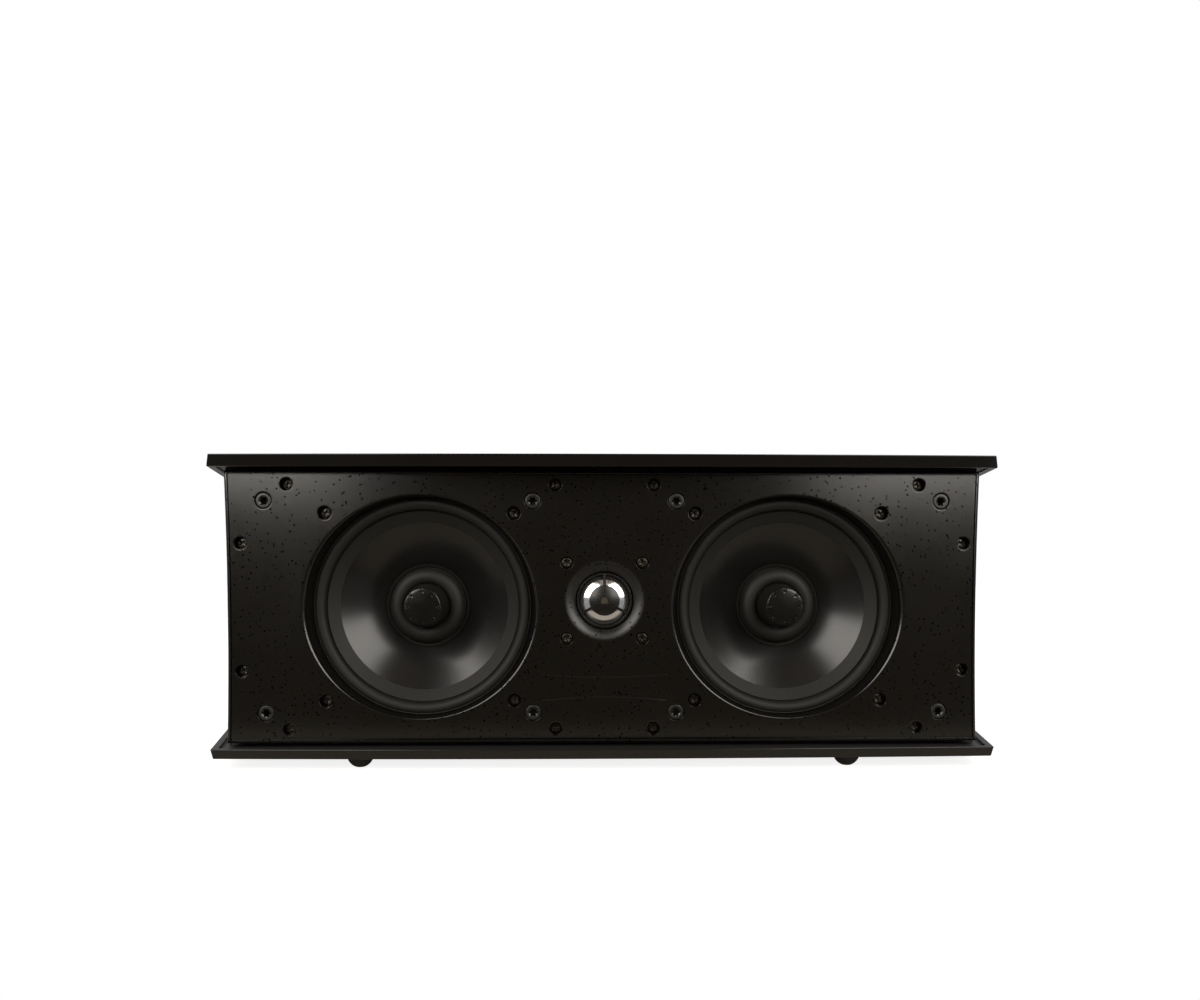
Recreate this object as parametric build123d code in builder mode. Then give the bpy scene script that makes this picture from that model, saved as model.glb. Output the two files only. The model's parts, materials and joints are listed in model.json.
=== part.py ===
"""Center channel speaker: a splayed cabinet with two woofers and a dome tweeter behind a moulded baffle.

Millimetres. +Z is up, the front faces -Y, and the origin is on the floor below the middle of the object.
Places along the driver axes are depths, counted from the baffle's face towards the rear.
"""

import os
from math import cos, pi, radians, sin, sqrt, tan

from build123d import *

# Rounds are drawn with flat sides, few on what is small or hidden, which keeps the model light
woofer_sides = 32
motor_sides = 24
tweeter_sides = 24
small_sides = 12
hole_sides = 8
shank_sides = 6

# Caps: moulded top and bottom plates with a bowed front edge and sides that splay towards the rear
cap_front_width = 439.0
cap_depth = 200.0
cap_front_bow = 4.5
cap_bevel = 1.3
side_splay = 12.0
top_cap_height = 6.8
bottom_cap_height = 5.6
cap_spacing = 156.6
cap_rim = 4.0
cap_recess = 2.0

# Feet: domed rubber with a small flat
foot_radius = 7.6
foot_flat_radius = 2.5
foot_spread = 279.4
foot_front_setback = 20.0
foot_rear_setback = 20.0

# Cabinet boards
board = 15.0
cabinet_side_inset = 7.2
cabinet_rear_inset = 7.2
window_height = 126.0
window_end_margin = 2.0

# Baffle
baffle_setback = 20.0
baffle_end_margin = 3.9
baffle_gap = 0.5
baffle_thickness = 10.0
baffle_waist = 1.2
baffle_edge_radius = 2.4
gasket_thickness = 1.5
gasket_width = 4.4
gasket_edge_margin = 1.0

# Screws in the baffle: pan heads at the bottom of counterbores
head_radius = 3.0
head_height = 2.4
shank_radius = 1.7
shank_clearance = 0.3
baffle_bore_radius = 3.75
woofer_bore_radius = 4.0
tweeter_bore_radius = 3.7
head_depth = 3.8
tweeter_head_depth = 0.6
frame_bite = 12.0
corner_screw_margin = 35.4
baffle_screw_inner = 28.1
baffle_screw_drop = 8.05
side_screw_margin = 9.2
side_screw_rise = 36.4

# Sockets that take a grille's pins
socket_margin = 22.4
socket_inner = 41.0
socket_drop = 17.3
socket_radius = 4.65
socket_length = 9.0
socket_clearance = 0.05
socket_hole_radius = 2.4
socket_hole_waist = 1.75
socket_hole_depth = 7.0
socket_points = 6

# Woofers
woofer_gap = 8.8
woofer_screw_square = 107.0
recess_width = 135.6
recess_height = 128.7
recess_flare_depth = 3.5
throat_width = 129.4
throat_height = 126.4
recess_radius = 62.5
flange_radius = 68.0
flange_thickness = 4.0
flange_clearance = 1.5
ear_radius = 8.0
basket_bore = 62.4
basket_rim_depth = 7.2
basket_rim_wall = 4.0
arm_count = 6
arm_width = 12.0
arm_thickness = 4.0
basket_foot_radius = 46.0
spider_depth = 40.0
spider_radius = 43.0
spider_thickness = 0.6
spider_ledge = 3.5
basket_foot = 3.0
surround_thickness = 0.8
surround_edge_radius = 65.6
surround_clearance = 0.2
roll_outer_radius = 62.2
roll_inner_radius = 55.8
roll_height = 2.5
roll_bands = 4
glue_gap = 0.2
cone_edge_radius = 49.1
cone_edge_depth = 18.0
cone_lip = 6.4
cone_slope = 0.6
cone_thickness = 0.9
coil_radius = 19.35
coil_thickness = 0.7
coil_rise = 1.0
coil_length = 22.5
coil_gap_inner = 0.4
coil_gap_outer = 0.6
inner_roll_edge_radius = 22.1
inner_roll_lip = 2.15
inner_roll_height = 5.1
top_plate_depth = 46.0
top_plate_thickness = 6.0
top_plate_radius = 42.0
magnet_radius = 45.0
magnet_bore = 24.0
magnet_thickness = 15.0
yoke_thickness = 6.0

# Plugs: fixed on the pole pieces, each with a glossy end cap that has lugs round its rim
plug_base_radius = 13.1
plug_base_depth = 27.0
plug_collar = 2.0
plug_stem_radius = 10.0
plug_nose_radius = 10.8
plug_cap_depth = 7.7
plug_cap_thickness = 1.8
lug_count = 8
lug_width = 2.2
lug_reach = 0.5

# Tweeter
tweeter_rise = 3.7
tweeter_screw_square = 43.2
tweeter_recess_width = 44.8
tweeter_recess_height = 43.4
tweeter_recess_depth = 4.5
tweeter_hole_radius = 16.75
tweeter_plate_size = 57.0
tweeter_plate_corner = 6.0
tweeter_plate_thickness = 4.0
guard_radius = 16.0
guard_bore = 14.6
guard_depth = 7.0
guard_thickness = 2.5
tweeter_ledge_bore = 13.6
dome_radius = 12.75
dome_height = 3.5
dome_base_depth = 6.5
dome_wall = 0.4
dome_bands = 4
dome_gap = 1.0
diffuser_radius = 8.75
diffuser_hole = 2.4
diffuser_wall = 1.2
spoke_width = 2.6
spoke_count = 3
tweeter_surround_thickness = 0.4
tweeter_coil_wall = 0.4
tweeter_coil_length = 10.5
tweeter_gap = 0.4
tweeter_yoke_radius = 18.0
tweeter_yoke_depth = 13.0
tweeter_yoke_floor = 4.0
tweeter_pole_thickness = 3.5
tweeter_magnet_inset = 0.45

# Terminal cup on the rear board, with a pair of binding posts
cup_width = 90.0
cup_height = 70.0
cup_flange = 3.0
cup_wall = 2.5
cup_hollow_width = 58.0
cup_hollow_height = 44.0
cup_hollow_depth = 24.0
cup_flange_corner = 7.0
cup_corner = 5.0
cup_clearance = 0.5
cup_screw_inset = 7.0
cup_screw_head = 3.4
cup_screw_height = 1.8
cup_screw_length = 14.0
post_spacing = 19.0
post_radius = 3.0
post_bore_radius = 2.05
post_bore_depth = 14.0
post_collar_radius = 5.5
post_collar = 3.0
post_length = 20.0
post_tail = 9.0
post_tail_radius = 2.5
knob_radius = 6.5
knob_flutes = 8
knob_length = 13.0
knob_fit = 0.08
knob_gap = 0.4
nut_size = 9.0
nut_height = 4.0

# Crossover on the bottom board, and damping pads on the rear board
crossover_width = 130.0
crossover_length = 72.0
crossover_thickness = 1.6
crossover_rear_gap = 12.0
standoff_height = 6.0
standoff_radius = 3.0
standoff_inset = 6.0
inductor_radius = 17.0
inductor_bore = 8.0
inductor_height = 15.0
inductor_spacing = 74.0
capacitor_radius = 7.5
capacitor_length = 32.0
capacitor_spacing = 19.0
resistor_size = 9.0
resistor_length = 26.0
resistor_spacing = 12.0
part_lift = 0.2
pad_width = 150.0
pad_margin = 7.3
pad_thickness = 25.0
pad_spacing = 290.0

# Places that follow from the sizes above
total_depth = cap_depth + cap_front_bow
cap_front = -total_depth / 2
cap_corner = cap_front + cap_front_bow
cap_rear = total_depth / 2
splay = tan(radians(side_splay))
foot_height = sqrt(foot_radius**2 - foot_flat_radius**2)
lower_rim = foot_height + bottom_cap_height
upper_rim = lower_rim + cap_spacing
cabinet_floor = lower_rim - cap_recess
cabinet_roof = upper_rim + cap_recess
axis_height = (lower_rim + upper_rim) / 2
baffle_front = cap_front + baffle_setback
baffle_back = baffle_front + baffle_thickness
cabinet_front = baffle_back + gasket_thickness
cabinet_rear = cap_rear - cabinet_rear_inset
board_across = board / cos(radians(side_splay))
inner_floor = cabinet_floor + board
inner_roof = cabinet_roof - board
inner_front = cabinet_front + board
inner_rear = cabinet_rear - board
baffle_width = cap_front_width - 2 * baffle_end_margin
baffle_height = cap_spacing - 2 * baffle_gap
baffle_screw_outer = baffle_width / 2 - corner_screw_margin
baffle_screw_rise = baffle_height / 2 - baffle_screw_drop
side_screw_reach = baffle_width / 2 - side_screw_margin
socket_outer = baffle_width / 2 - socket_margin
socket_rise = baffle_height / 2 - socket_drop
tweeter_height = axis_height + tweeter_rise
woofer_spacing = tweeter_plate_size + 2 * (flange_radius + woofer_gap)
woofer_centres = [(-woofer_spacing / 2, axis_height), (woofer_spacing / 2, axis_height)]
tweeter_centre = (0, tweeter_height)
face_plane = Plane(origin=(0, baffle_front, axis_height), x_dir=(1, 0, 0), z_dir=(0, -1, 0))
rear_plane = Plane(origin=(0, cabinet_rear, axis_height), x_dir=(-1, 0, 0), z_dir=(0, 1, 0))


def cap_half(y):
    """Half the width of the caps at y."""
    return cap_front_width / 2 + (y - cap_corner) * splay


def cabinet_half(y):
    """Half the width of the cabinet at y."""
    return cap_half(y) - cabinet_side_inset


def ring(inner, outer, front, back):
    """Section of a plain ring, as (radius, depth) points."""
    return [(inner, front), (outer, front), (outer, back), (inner, back)]


def turn(centre, points, sides):
    """Turns a section of (radius, depth) points about the axis of the driver at centre, in flat sides."""
    angles = [2 * pi * i / sides for i in range(sides)]
    loops = [
        [(centre[0] + radius * cos(a), baffle_front + depth, centre[1] + radius * sin(a)) for a in angles]
        for radius, depth in points
    ]
    facets = []
    for loop, after in zip(loops, loops[1:] + loops[:1]):
        for i in range(sides):
            corners = dict.fromkeys((loop[i - 1], loop[i], after[i], after[i - 1]))
            if len(corners) > 2:
                facets.append(Face(Wire.make_polygon(list(corners))))
    add(Solid(Shell(facets)))


def cap_plan(height, inset):
    """Plan of the caps at a height, with its edges moved in by inset."""
    front = cap_front_width / 2
    rear = cap_half(cap_rear)
    with BuildSketch(Plane.XY.offset(height)) as plan:
        with BuildLine():
            ThreePointArc((-front, cap_corner), (0, cap_front), (front, cap_corner))
            Polyline((front, cap_corner), (rear, cap_rear), (-rear, cap_rear), (-front, cap_corner))
        make_face()
        offset(amount=-inset, kind=Kind.INTERSECTION, mode=Mode.REPLACE)
    return plan.sketch


def write(piece, name):
    """Labels a finished piece and writes its file."""
    piece.part.label = name
    export_step(piece.part, f"parts/{name}.step")


os.makedirs("parts", exist_ok=True)

# Caps, each widest at its rim, with a shallow recess that takes the cabinet
for name, rim, height, way in (
    ("top_cap", upper_rim, top_cap_height, 1),
    ("bottom_cap", lower_rim, bottom_cap_height, -1),
):
    with BuildPart() as cap:
        loft([cap_plan(rim, 0), cap_plan(rim + way * height, cap_bevel)])
        extrude(cap_plan(rim, cap_rim), amount=way * cap_recess, mode=Mode.SUBTRACT)
    write(cap, name)

# Feet under the bottom cap
foot_front = cap_front + foot_front_setback
foot_rear = cap_rear - foot_rear_setback
foot_bend = foot_radius * sqrt(0.5)
with BuildPart() as rubber_feet:
    for x in (-foot_spread / 2, foot_spread / 2):
        for y in (foot_front, foot_rear):
            for radius, height in (
                (foot_radius, foot_height),
                (foot_bend, foot_height - foot_bend),
                (foot_flat_radius, 0),
            ):
                with BuildSketch(Plane(origin=(x, y, height))):
                    RegularPolygon(radius, small_sides)
            loft(ruled=True)
write(rubber_feet, "rubber_feet")

# Cabinet boards: top and bottom run full width behind the front board, and the sides stand between them
for name, floor in (("cabinet_bottom", cabinet_floor), ("cabinet_top", inner_roof)):
    with BuildPart() as board_piece:
        with BuildSketch(Plane.XY.offset(floor)):
            with BuildLine():
                front, rear = cabinet_half(inner_front), cabinet_half(cabinet_rear)
                Polyline(
                    (-front, inner_front),
                    (front, inner_front),
                    (rear, cabinet_rear),
                    (-rear, cabinet_rear),
                    close=True,
                )
            make_face()
        extrude(amount=board)
    write(board_piece, name)

for name, side in (("cabinet_side_left", -1), ("cabinet_side_right", 1)):
    with BuildPart() as board_piece:
        with BuildSketch(Plane.XY.offset(inner_floor)):
            with BuildLine():
                front, rear = cabinet_half(inner_front), cabinet_half(cabinet_rear)
                Polyline(
                    (side * front, inner_front),
                    (side * rear, cabinet_rear),
                    (side * (rear - board_across), cabinet_rear),
                    (side * (front - board_across), inner_front),
                    close=True,
                )
            make_face()
        extrude(amount=inner_roof - inner_floor)
    write(board_piece, name)

cup_body_width = cup_hollow_width + 2 * cup_wall
cup_body_height = cup_hollow_height + 2 * cup_wall
with BuildPart() as cabinet_rear_board:
    with BuildSketch(Plane.XY.offset(inner_floor)):
        with BuildLine():
            front = cabinet_half(inner_rear) - board_across
            rear = cabinet_half(cabinet_rear) - board_across
            Polyline(
                (-front, inner_rear),
                (front, inner_rear),
                (rear, cabinet_rear),
                (-rear, cabinet_rear),
                close=True,
            )
        make_face()
    extrude(amount=inner_roof - inner_floor)
    with BuildSketch(rear_plane):
        Rectangle(cup_body_width + 2 * cup_clearance, cup_body_height + 2 * cup_clearance)
    extrude(amount=-board, mode=Mode.SUBTRACT)
write(cabinet_rear_board, "cabinet_rear")

with BuildPart() as cabinet_front_board:
    with BuildSketch(Plane.XY.offset(cabinet_floor)):
        with BuildLine():
            front, rear = cabinet_half(cabinet_front), cabinet_half(inner_front)
            Polyline(
                (-front, cabinet_front),
                (front, cabinet_front),
                (rear, inner_front),
                (-rear, inner_front),
                close=True,
            )
        make_face()
    extrude(amount=cabinet_roof - cabinet_floor)
    with BuildSketch(face_plane.offset(baffle_front - cabinet_front)):
        Rectangle(woofer_spacing + 2 * (flange_radius + window_end_margin), window_height)
        with Locations((-woofer_spacing / 2, 0), (woofer_spacing / 2, 0)):
            Circle(flange_radius + flange_clearance)
    extrude(amount=-board, mode=Mode.SUBTRACT)
write(cabinet_front_board, "cabinet_front")

# Foam gasket round the edge of the baffle's back, outside the screws
gasket_outer_width = baffle_width - 2 * (baffle_waist + gasket_edge_margin)
gasket_outer_height = baffle_height - 2 * gasket_edge_margin
with BuildPart() as baffle_gasket:
    with BuildSketch(face_plane.offset(-baffle_thickness)):
        Rectangle(gasket_outer_width, gasket_outer_height)
        Rectangle(
            gasket_outer_width - 2 * gasket_width,
            gasket_outer_height - 2 * gasket_width,
            mode=Mode.SUBTRACT,
        )
    extrude(amount=-gasket_thickness)
write(baffle_gasket, "baffle_gasket")

# Places of the screws and sockets on the baffle's face
baffle_screw_places = [
    (x * side, z * end)
    for x, z in (
        (baffle_screw_outer, baffle_screw_rise),
        (baffle_screw_inner, baffle_screw_rise),
        (side_screw_reach, side_screw_rise),
    )
    for side in (-1, 1)
    for end in (-1, 1)
]
woofer_screw_places = [
    (centre + x * woofer_screw_square / 2, z * woofer_screw_square / 2)
    for centre in (-woofer_spacing / 2, woofer_spacing / 2)
    for x in (-1, 1)
    for z in (-1, 1)
]
tweeter_screw_places = [
    (x * tweeter_screw_square / 2, tweeter_rise + z * tweeter_screw_square / 2)
    for x in (-1, 1)
    for z in (-1, 1)
]
socket_places = [
    (x * side, z * socket_rise) for x in (socket_outer, socket_inner) for side in (-1, 1) for z in (-1, 1)
]
hole_radius = shank_radius + shank_clearance
seat_depth = head_depth + head_height
tweeter_seat_depth = tweeter_head_depth + head_height

# Moulded baffle: waisted ends, oval recesses that flare out to its face, counterbores and socket holes
with BuildPart() as front_baffle:
    with BuildSketch(face_plane):
        half_width, half_height = baffle_width / 2, baffle_height / 2
        with BuildLine():
            Line((-half_width, half_height), (half_width, half_height))
            ThreePointArc(
                (half_width, half_height), (half_width - baffle_waist, 0), (half_width, -half_height)
            )
            Line((half_width, -half_height), (-half_width, -half_height))
            ThreePointArc(
                (-half_width, -half_height), (baffle_waist - half_width, 0), (-half_width, half_height)
            )
        make_face()
    extrude(amount=-baffle_thickness)
    fillet(front_baffle.faces().sort_by(Axis.Y)[0].edges(), baffle_edge_radius)
    for centre in (-woofer_spacing / 2, woofer_spacing / 2):
        with BuildSketch(face_plane):
            with Locations((centre, 0)):
                Ellipse(recess_width / 2, recess_height / 2)
        with BuildSketch(face_plane.offset(-recess_flare_depth)):
            with Locations((centre, 0)):
                Ellipse(throat_width / 2, throat_height / 2)
        loft(ruled=True, mode=Mode.SUBTRACT)
        with BuildSketch(face_plane.offset(-recess_flare_depth)):
            with Locations((centre, 0)):
                Ellipse(throat_width / 2, throat_height / 2)
        with BuildSketch(face_plane.offset(-baffle_thickness)):
            with Locations((centre, 0)):
                Circle(recess_radius)
        loft(ruled=True, mode=Mode.SUBTRACT)
    with BuildSketch(face_plane):
        with Locations((0, tweeter_rise)):
            Ellipse(tweeter_recess_width / 2, tweeter_recess_height / 2)
    with BuildSketch(face_plane.offset(-tweeter_recess_depth)):
        with Locations((0, tweeter_rise)):
            Circle(tweeter_hole_radius)
    loft(mode=Mode.SUBTRACT)
    with BuildSketch(face_plane.offset(-tweeter_recess_depth)):
        with Locations((0, tweeter_rise)):
            Circle(tweeter_hole_radius)
    extrude(amount=tweeter_recess_depth - baffle_thickness, mode=Mode.SUBTRACT)
    for places, radius, depth in (
        (baffle_screw_places, baffle_bore_radius, seat_depth),
        (woofer_screw_places, woofer_bore_radius, seat_depth),
        (tweeter_screw_places, tweeter_bore_radius, tweeter_seat_depth),
        (socket_places, socket_radius + socket_clearance, socket_length),
    ):
        with BuildSketch(face_plane):
            with Locations(*places):
                RegularPolygon(radius, small_sides)
        extrude(amount=-depth, mode=Mode.SUBTRACT)
    with BuildSketch(face_plane):
        with Locations(*baffle_screw_places, *woofer_screw_places, *tweeter_screw_places):
            RegularPolygon(hole_radius, hole_sides)
    extrude(amount=-baffle_thickness, mode=Mode.SUBTRACT)
write(front_baffle, "front_baffle")

# Screws: a pan head and a plain stand-in for the threaded shank
frame_tip = baffle_thickness + gasket_thickness + frame_bite
ear_tip = baffle_thickness + flange_thickness
plate_tip = baffle_thickness + tweeter_plate_thickness
for name, places, head_top, tip in (
    ("baffle_screws", baffle_screw_places, head_depth, frame_tip),
    ("woofer_screws", woofer_screw_places, head_depth, ear_tip),
    ("tweeter_screws", tweeter_screw_places, tweeter_head_depth, plate_tip),
):
    with BuildPart() as screws:
        with BuildSketch(face_plane.offset(-head_top)):
            with Locations(*places):
                RegularPolygon(head_radius, small_sides)
        extrude(amount=-head_height)
        with BuildSketch(face_plane.offset(-head_top - head_height)):
            with Locations(*places):
                RegularPolygon(shank_radius, shank_sides)
        extrude(amount=head_top + head_height - tip)
    write(screws, name)

# Grille sockets: plastic cups with a star-shaped hole
with BuildPart() as grille_sockets:
    with BuildSketch(face_plane):
        with Locations(*socket_places):
            RegularPolygon(socket_radius, small_sides)
    extrude(amount=-socket_length)
    with BuildSketch(face_plane):
        star = []
        for i in range(2 * socket_points):
            reach = socket_hole_radius if i % 2 == 0 else socket_hole_waist
            star.append(Vector(reach, 0).rotate(Axis.Z, 180 * i / socket_points))
        with Locations(*socket_places):
            Polygon(*star, align=None)
    extrude(amount=-socket_hole_depth, mode=Mode.SUBTRACT)
write(grille_sockets, "grille_sockets")

# Cast baskets: a flange with four ears and a rebate for the surround, six arms and a foot for the motor
flange_back = baffle_thickness + flange_thickness
rim_back = baffle_thickness + basket_rim_depth
rebate_depth = baffle_thickness + surround_thickness
rebate_radius = surround_edge_radius + surround_clearance
ear_reach = woofer_screw_square * sqrt(0.5)
ledge_radius = spider_radius + glue_gap
foot_front = top_plate_depth - basket_foot
basket_rim = [
    (rebate_radius, baffle_thickness),
    (flange_radius, baffle_thickness),
    (flange_radius, flange_back),
    (basket_bore + basket_rim_wall, rim_back),
    (basket_bore, rim_back),
    (basket_bore, rebate_depth),
    (rebate_radius, rebate_depth),
]
basket_foot_section = [
    (ledge_radius - spider_ledge, spider_depth),
    (basket_foot_radius, spider_depth),
    (basket_foot_radius, top_plate_depth),
    (magnet_bore, top_plate_depth),
    (magnet_bore, foot_front),
    (ledge_radius - spider_ledge, foot_front),
]
arm_section = [
    (basket_bore + basket_rim_wall, flange_back),
    (basket_bore + basket_rim_wall, rim_back),
    (basket_foot_radius, foot_front),
    (basket_foot_radius - arm_thickness, foot_front),
    (basket_bore, rim_back),
    (basket_bore, flange_back),
]
with BuildPart() as woofer_baskets:
    for centre in woofer_centres:
        turn(centre, basket_rim, woofer_sides)
        turn(centre, basket_foot_section, motor_sides)
        for i in range(arm_count):
            arm_plane = Plane(origin=(centre[0], baffle_front, centre[1]))
            with BuildSketch(arm_plane.rotated((0, 360 * i / arm_count, 0))):
                with BuildLine():
                    Polyline(*arm_section, close=True)
                make_face()
            extrude(amount=arm_width / 2, both=True)
    with BuildSketch(face_plane.offset(-baffle_thickness)):
        with Locations(*woofer_screw_places):
            RegularPolygon(ear_radius, small_sides)
        with Locations((-woofer_spacing / 2, 0), (woofer_spacing / 2, 0)):
            with PolarLocations(ear_reach / 2, 4, start_angle=45):
                Rectangle(ear_reach, 2 * ear_radius)
            Circle((rebate_radius + flange_radius) / 2, mode=Mode.SUBTRACT)
    extrude(amount=-flange_thickness)
write(woofer_baskets, "woofer_baskets")


def cone_front(radius):
    """Depth of the cone's front at a radius."""
    return cone_edge_depth + (cone_edge_radius - radius) * cone_slope


def lip_back(radius):
    """Depth of the back of a rubber lip that lies on the cone."""
    return cone_front(radius) - glue_gap


def half_roll(start, end, height):
    """Line of a half roll that bulges forwards between two (radius, depth) points."""
    line = []
    for i in range(roll_bands + 1):
        share = (1 - cos(pi * i / roll_bands)) / 2
        radius = start[0] + (end[0] - start[0]) * share
        depth = start[1] + (end[1] - start[1]) * share
        line.append((radius, depth - height * sin(pi * i / roll_bands)))
    return line


# Outer surrounds: a flange clamped between baffle and basket, a half roll and a wide lip on the cone
cone_rim = cone_edge_radius + cone_lip
roll_foot = lip_back(roll_inner_radius)
surround_section = [
    (surround_edge_radius, rebate_depth),
    (surround_edge_radius, baffle_thickness),
    *half_roll(
        (roll_outer_radius, baffle_thickness),
        (roll_inner_radius, roll_foot - surround_thickness),
        roll_height,
    ),
    (cone_edge_radius, lip_back(cone_edge_radius) - surround_thickness),
    (cone_edge_radius, lip_back(cone_edge_radius)),
    (cone_rim, lip_back(cone_rim)),
    *half_roll(
        (roll_inner_radius + surround_thickness, roll_foot),
        (roll_outer_radius - surround_thickness, rebate_depth),
        roll_height,
    ),
]
with BuildPart() as woofer_surrounds:
    for centre in woofer_centres:
        turn(centre, surround_section, woofer_sides)
write(woofer_surrounds, "woofer_surrounds")

# Cones and voice coils, which move together
coil_front = cone_front(coil_radius) - coil_rise
coil_back = coil_front + coil_length
coil_inner = coil_radius - coil_thickness
cone_section = [
    (cone_rim, cone_front(cone_rim)),
    (cone_rim, cone_front(cone_rim) + cone_thickness),
    (coil_radius, cone_front(coil_radius) + cone_thickness),
    (coil_radius, cone_front(coil_radius)),
]
for side, centre in zip(("left", "right"), woofer_centres):
    with BuildPart() as cone:
        turn(centre, cone_section, woofer_sides)
    write(cone, f"cone_{side}")
    with BuildPart() as voice_coil:
        turn(centre, ring(coil_inner, coil_radius, coil_front, coil_back), woofer_sides)
    write(voice_coil, f"voice_coil_{side}")

# Inner surrounds, from a lip on the cone to the collar of the fixed plug
plug_collar_end = plug_base_depth + plug_collar
collar_edge = plug_base_radius + glue_gap
inner_lip = inner_roll_edge_radius + inner_roll_lip
inner_roll_foot = lip_back(inner_roll_edge_radius)
inner_section = [
    (inner_lip, lip_back(inner_lip)),
    (inner_lip, lip_back(inner_lip) - surround_thickness),
    *half_roll(
        (inner_roll_edge_radius, inner_roll_foot - surround_thickness),
        (collar_edge, plug_collar_end - surround_thickness),
        inner_roll_height,
    ),
    (collar_edge, plug_collar_end),
    *half_roll(
        (collar_edge + surround_thickness, plug_collar_end),
        (inner_roll_edge_radius - surround_thickness, inner_roll_foot),
        inner_roll_height,
    ),
    (inner_roll_edge_radius, inner_roll_foot),
]
with BuildPart() as inner_surrounds:
    for centre in woofer_centres:
        turn(centre, inner_section, motor_sides)
write(inner_surrounds, "inner_surrounds")

# Spiders, from the voice coil to the basket's ledge
with BuildPart() as woofer_spiders:
    for centre in woofer_centres:
        spider_front = spider_depth - spider_thickness
        turn(centre, ring(coil_radius + glue_gap, spider_radius, spider_front, spider_depth), motor_sides)
write(woofer_spiders, "woofer_spiders")

# Motors: a top plate, a ring magnet and a yoke whose pole stands inside the coil
magnet_front = top_plate_depth + top_plate_thickness
magnet_back = magnet_front + magnet_thickness
pole_radius = coil_inner - coil_gap_inner
top_plate_section = ring(coil_radius + coil_gap_outer, top_plate_radius, top_plate_depth, magnet_front)
with BuildPart() as woofer_top_plates:
    for centre in woofer_centres:
        turn(centre, top_plate_section, motor_sides)
write(woofer_top_plates, "woofer_top_plates")

with BuildPart() as woofer_magnets:
    for centre in woofer_centres:
        turn(centre, ring(magnet_bore, magnet_radius, magnet_front, magnet_back), motor_sides)
write(woofer_magnets, "woofer_magnets")

yoke_section = [
    (0, top_plate_depth),
    (pole_radius, top_plate_depth),
    (pole_radius, magnet_back),
    (top_plate_radius, magnet_back),
    (top_plate_radius, magnet_back + yoke_thickness),
    (0, magnet_back + yoke_thickness),
]
with BuildPart() as woofer_yokes:
    for centre in woofer_centres:
        turn(centre, yoke_section, motor_sides)
write(woofer_yokes, "woofer_yokes")

# Plugs on the poles, and their end caps
plug_nose = plug_cap_depth + plug_cap_thickness
plug_section = [
    (0, plug_nose),
    (plug_nose_radius, plug_nose),
    (plug_base_radius, plug_base_depth),
    (plug_base_radius, plug_collar_end),
    (plug_stem_radius, plug_collar_end),
    (plug_stem_radius, top_plate_depth),
    (0, top_plate_depth),
]
with BuildPart() as phase_plugs:
    for centre in woofer_centres:
        turn(centre, plug_section, motor_sides)
write(phase_plugs, "phase_plugs")

with BuildPart() as plug_caps:
    for x in (-woofer_spacing / 2, woofer_spacing / 2):
        with BuildSketch(face_plane.offset(-plug_cap_depth)):
            with Locations((x, 0)):
                Circle(plug_nose_radius - lug_reach)
                with PolarLocations(plug_nose_radius - lug_width / 2, lug_count):
                    Rectangle(lug_width, lug_width)
        extrude(amount=-plug_cap_thickness)
write(plug_caps, "plug_caps")

# Tweeter plate: a square flange behind the baffle with a round boss that stands in the recess
plate_back = baffle_thickness + tweeter_plate_thickness
with BuildPart() as tweeter_plate:
    with BuildSketch(face_plane.offset(-baffle_thickness)):
        with Locations((0, tweeter_rise)):
            RectangleRounded(tweeter_plate_size, tweeter_plate_size, tweeter_plate_corner)
            RegularPolygon(tweeter_ledge_bore, tweeter_sides, mode=Mode.SUBTRACT)
    extrude(amount=-tweeter_plate_thickness)
    turn(tweeter_centre, ring(tweeter_ledge_bore, guard_radius, guard_depth, baffle_thickness), tweeter_sides)
write(tweeter_plate, "tweeter_plate")

# Diffuser: a ring on the boss, three spokes and a domed disc with a hole, close in front of the dome
sphere = (dome_radius**2 + dome_height**2) / (2 * dome_height)
sphere_depth = dome_base_depth - dome_height + sphere
disc_inner = sphere + dome_gap
disc_outer = disc_inner + diffuser_wall


def shell_depth(radius, curve):
    """Depth at a radius of a sphere that shares its centre with the dome."""
    return sphere_depth - sqrt(curve**2 - radius**2)


diffuser_front = guard_depth - guard_thickness
disc_middle = (diffuser_hole + diffuser_radius) / 2
with BuildPart() as tweeter_diffuser:
    turn(tweeter_centre, ring(guard_bore, guard_radius, diffuser_front, guard_depth), tweeter_sides)
    turn(
        tweeter_centre,
        [
            (diffuser_hole, shell_depth(diffuser_hole, disc_outer)),
            (disc_middle, shell_depth(disc_middle, disc_outer)),
            (diffuser_radius, shell_depth(diffuser_radius, disc_outer)),
            (diffuser_radius, shell_depth(diffuser_radius, disc_inner)),
            (diffuser_hole, shell_depth(diffuser_hole, disc_inner)),
        ],
        tweeter_sides,
    )
    for i in range(spoke_count):
        spoke = Plane(origin=(0, baffle_front, tweeter_height)).rotated((0, -90 - 360 * i / spoke_count, 0))
        rim_overlap = (guard_radius + guard_bore) / 2
        with BuildSketch(spoke):
            with BuildLine():
                Polyline(
                    (diffuser_radius - diffuser_wall, shell_depth(diffuser_radius, disc_outer)),
                    (rim_overlap, diffuser_front),
                    (rim_overlap, diffuser_front + diffuser_wall),
                    (diffuser_radius - diffuser_wall, shell_depth(diffuser_radius, disc_inner)),
                    close=True,
                )
            make_face()
        extrude(amount=spoke_width / 2, both=True)
write(tweeter_diffuser, "tweeter_diffuser")

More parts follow.
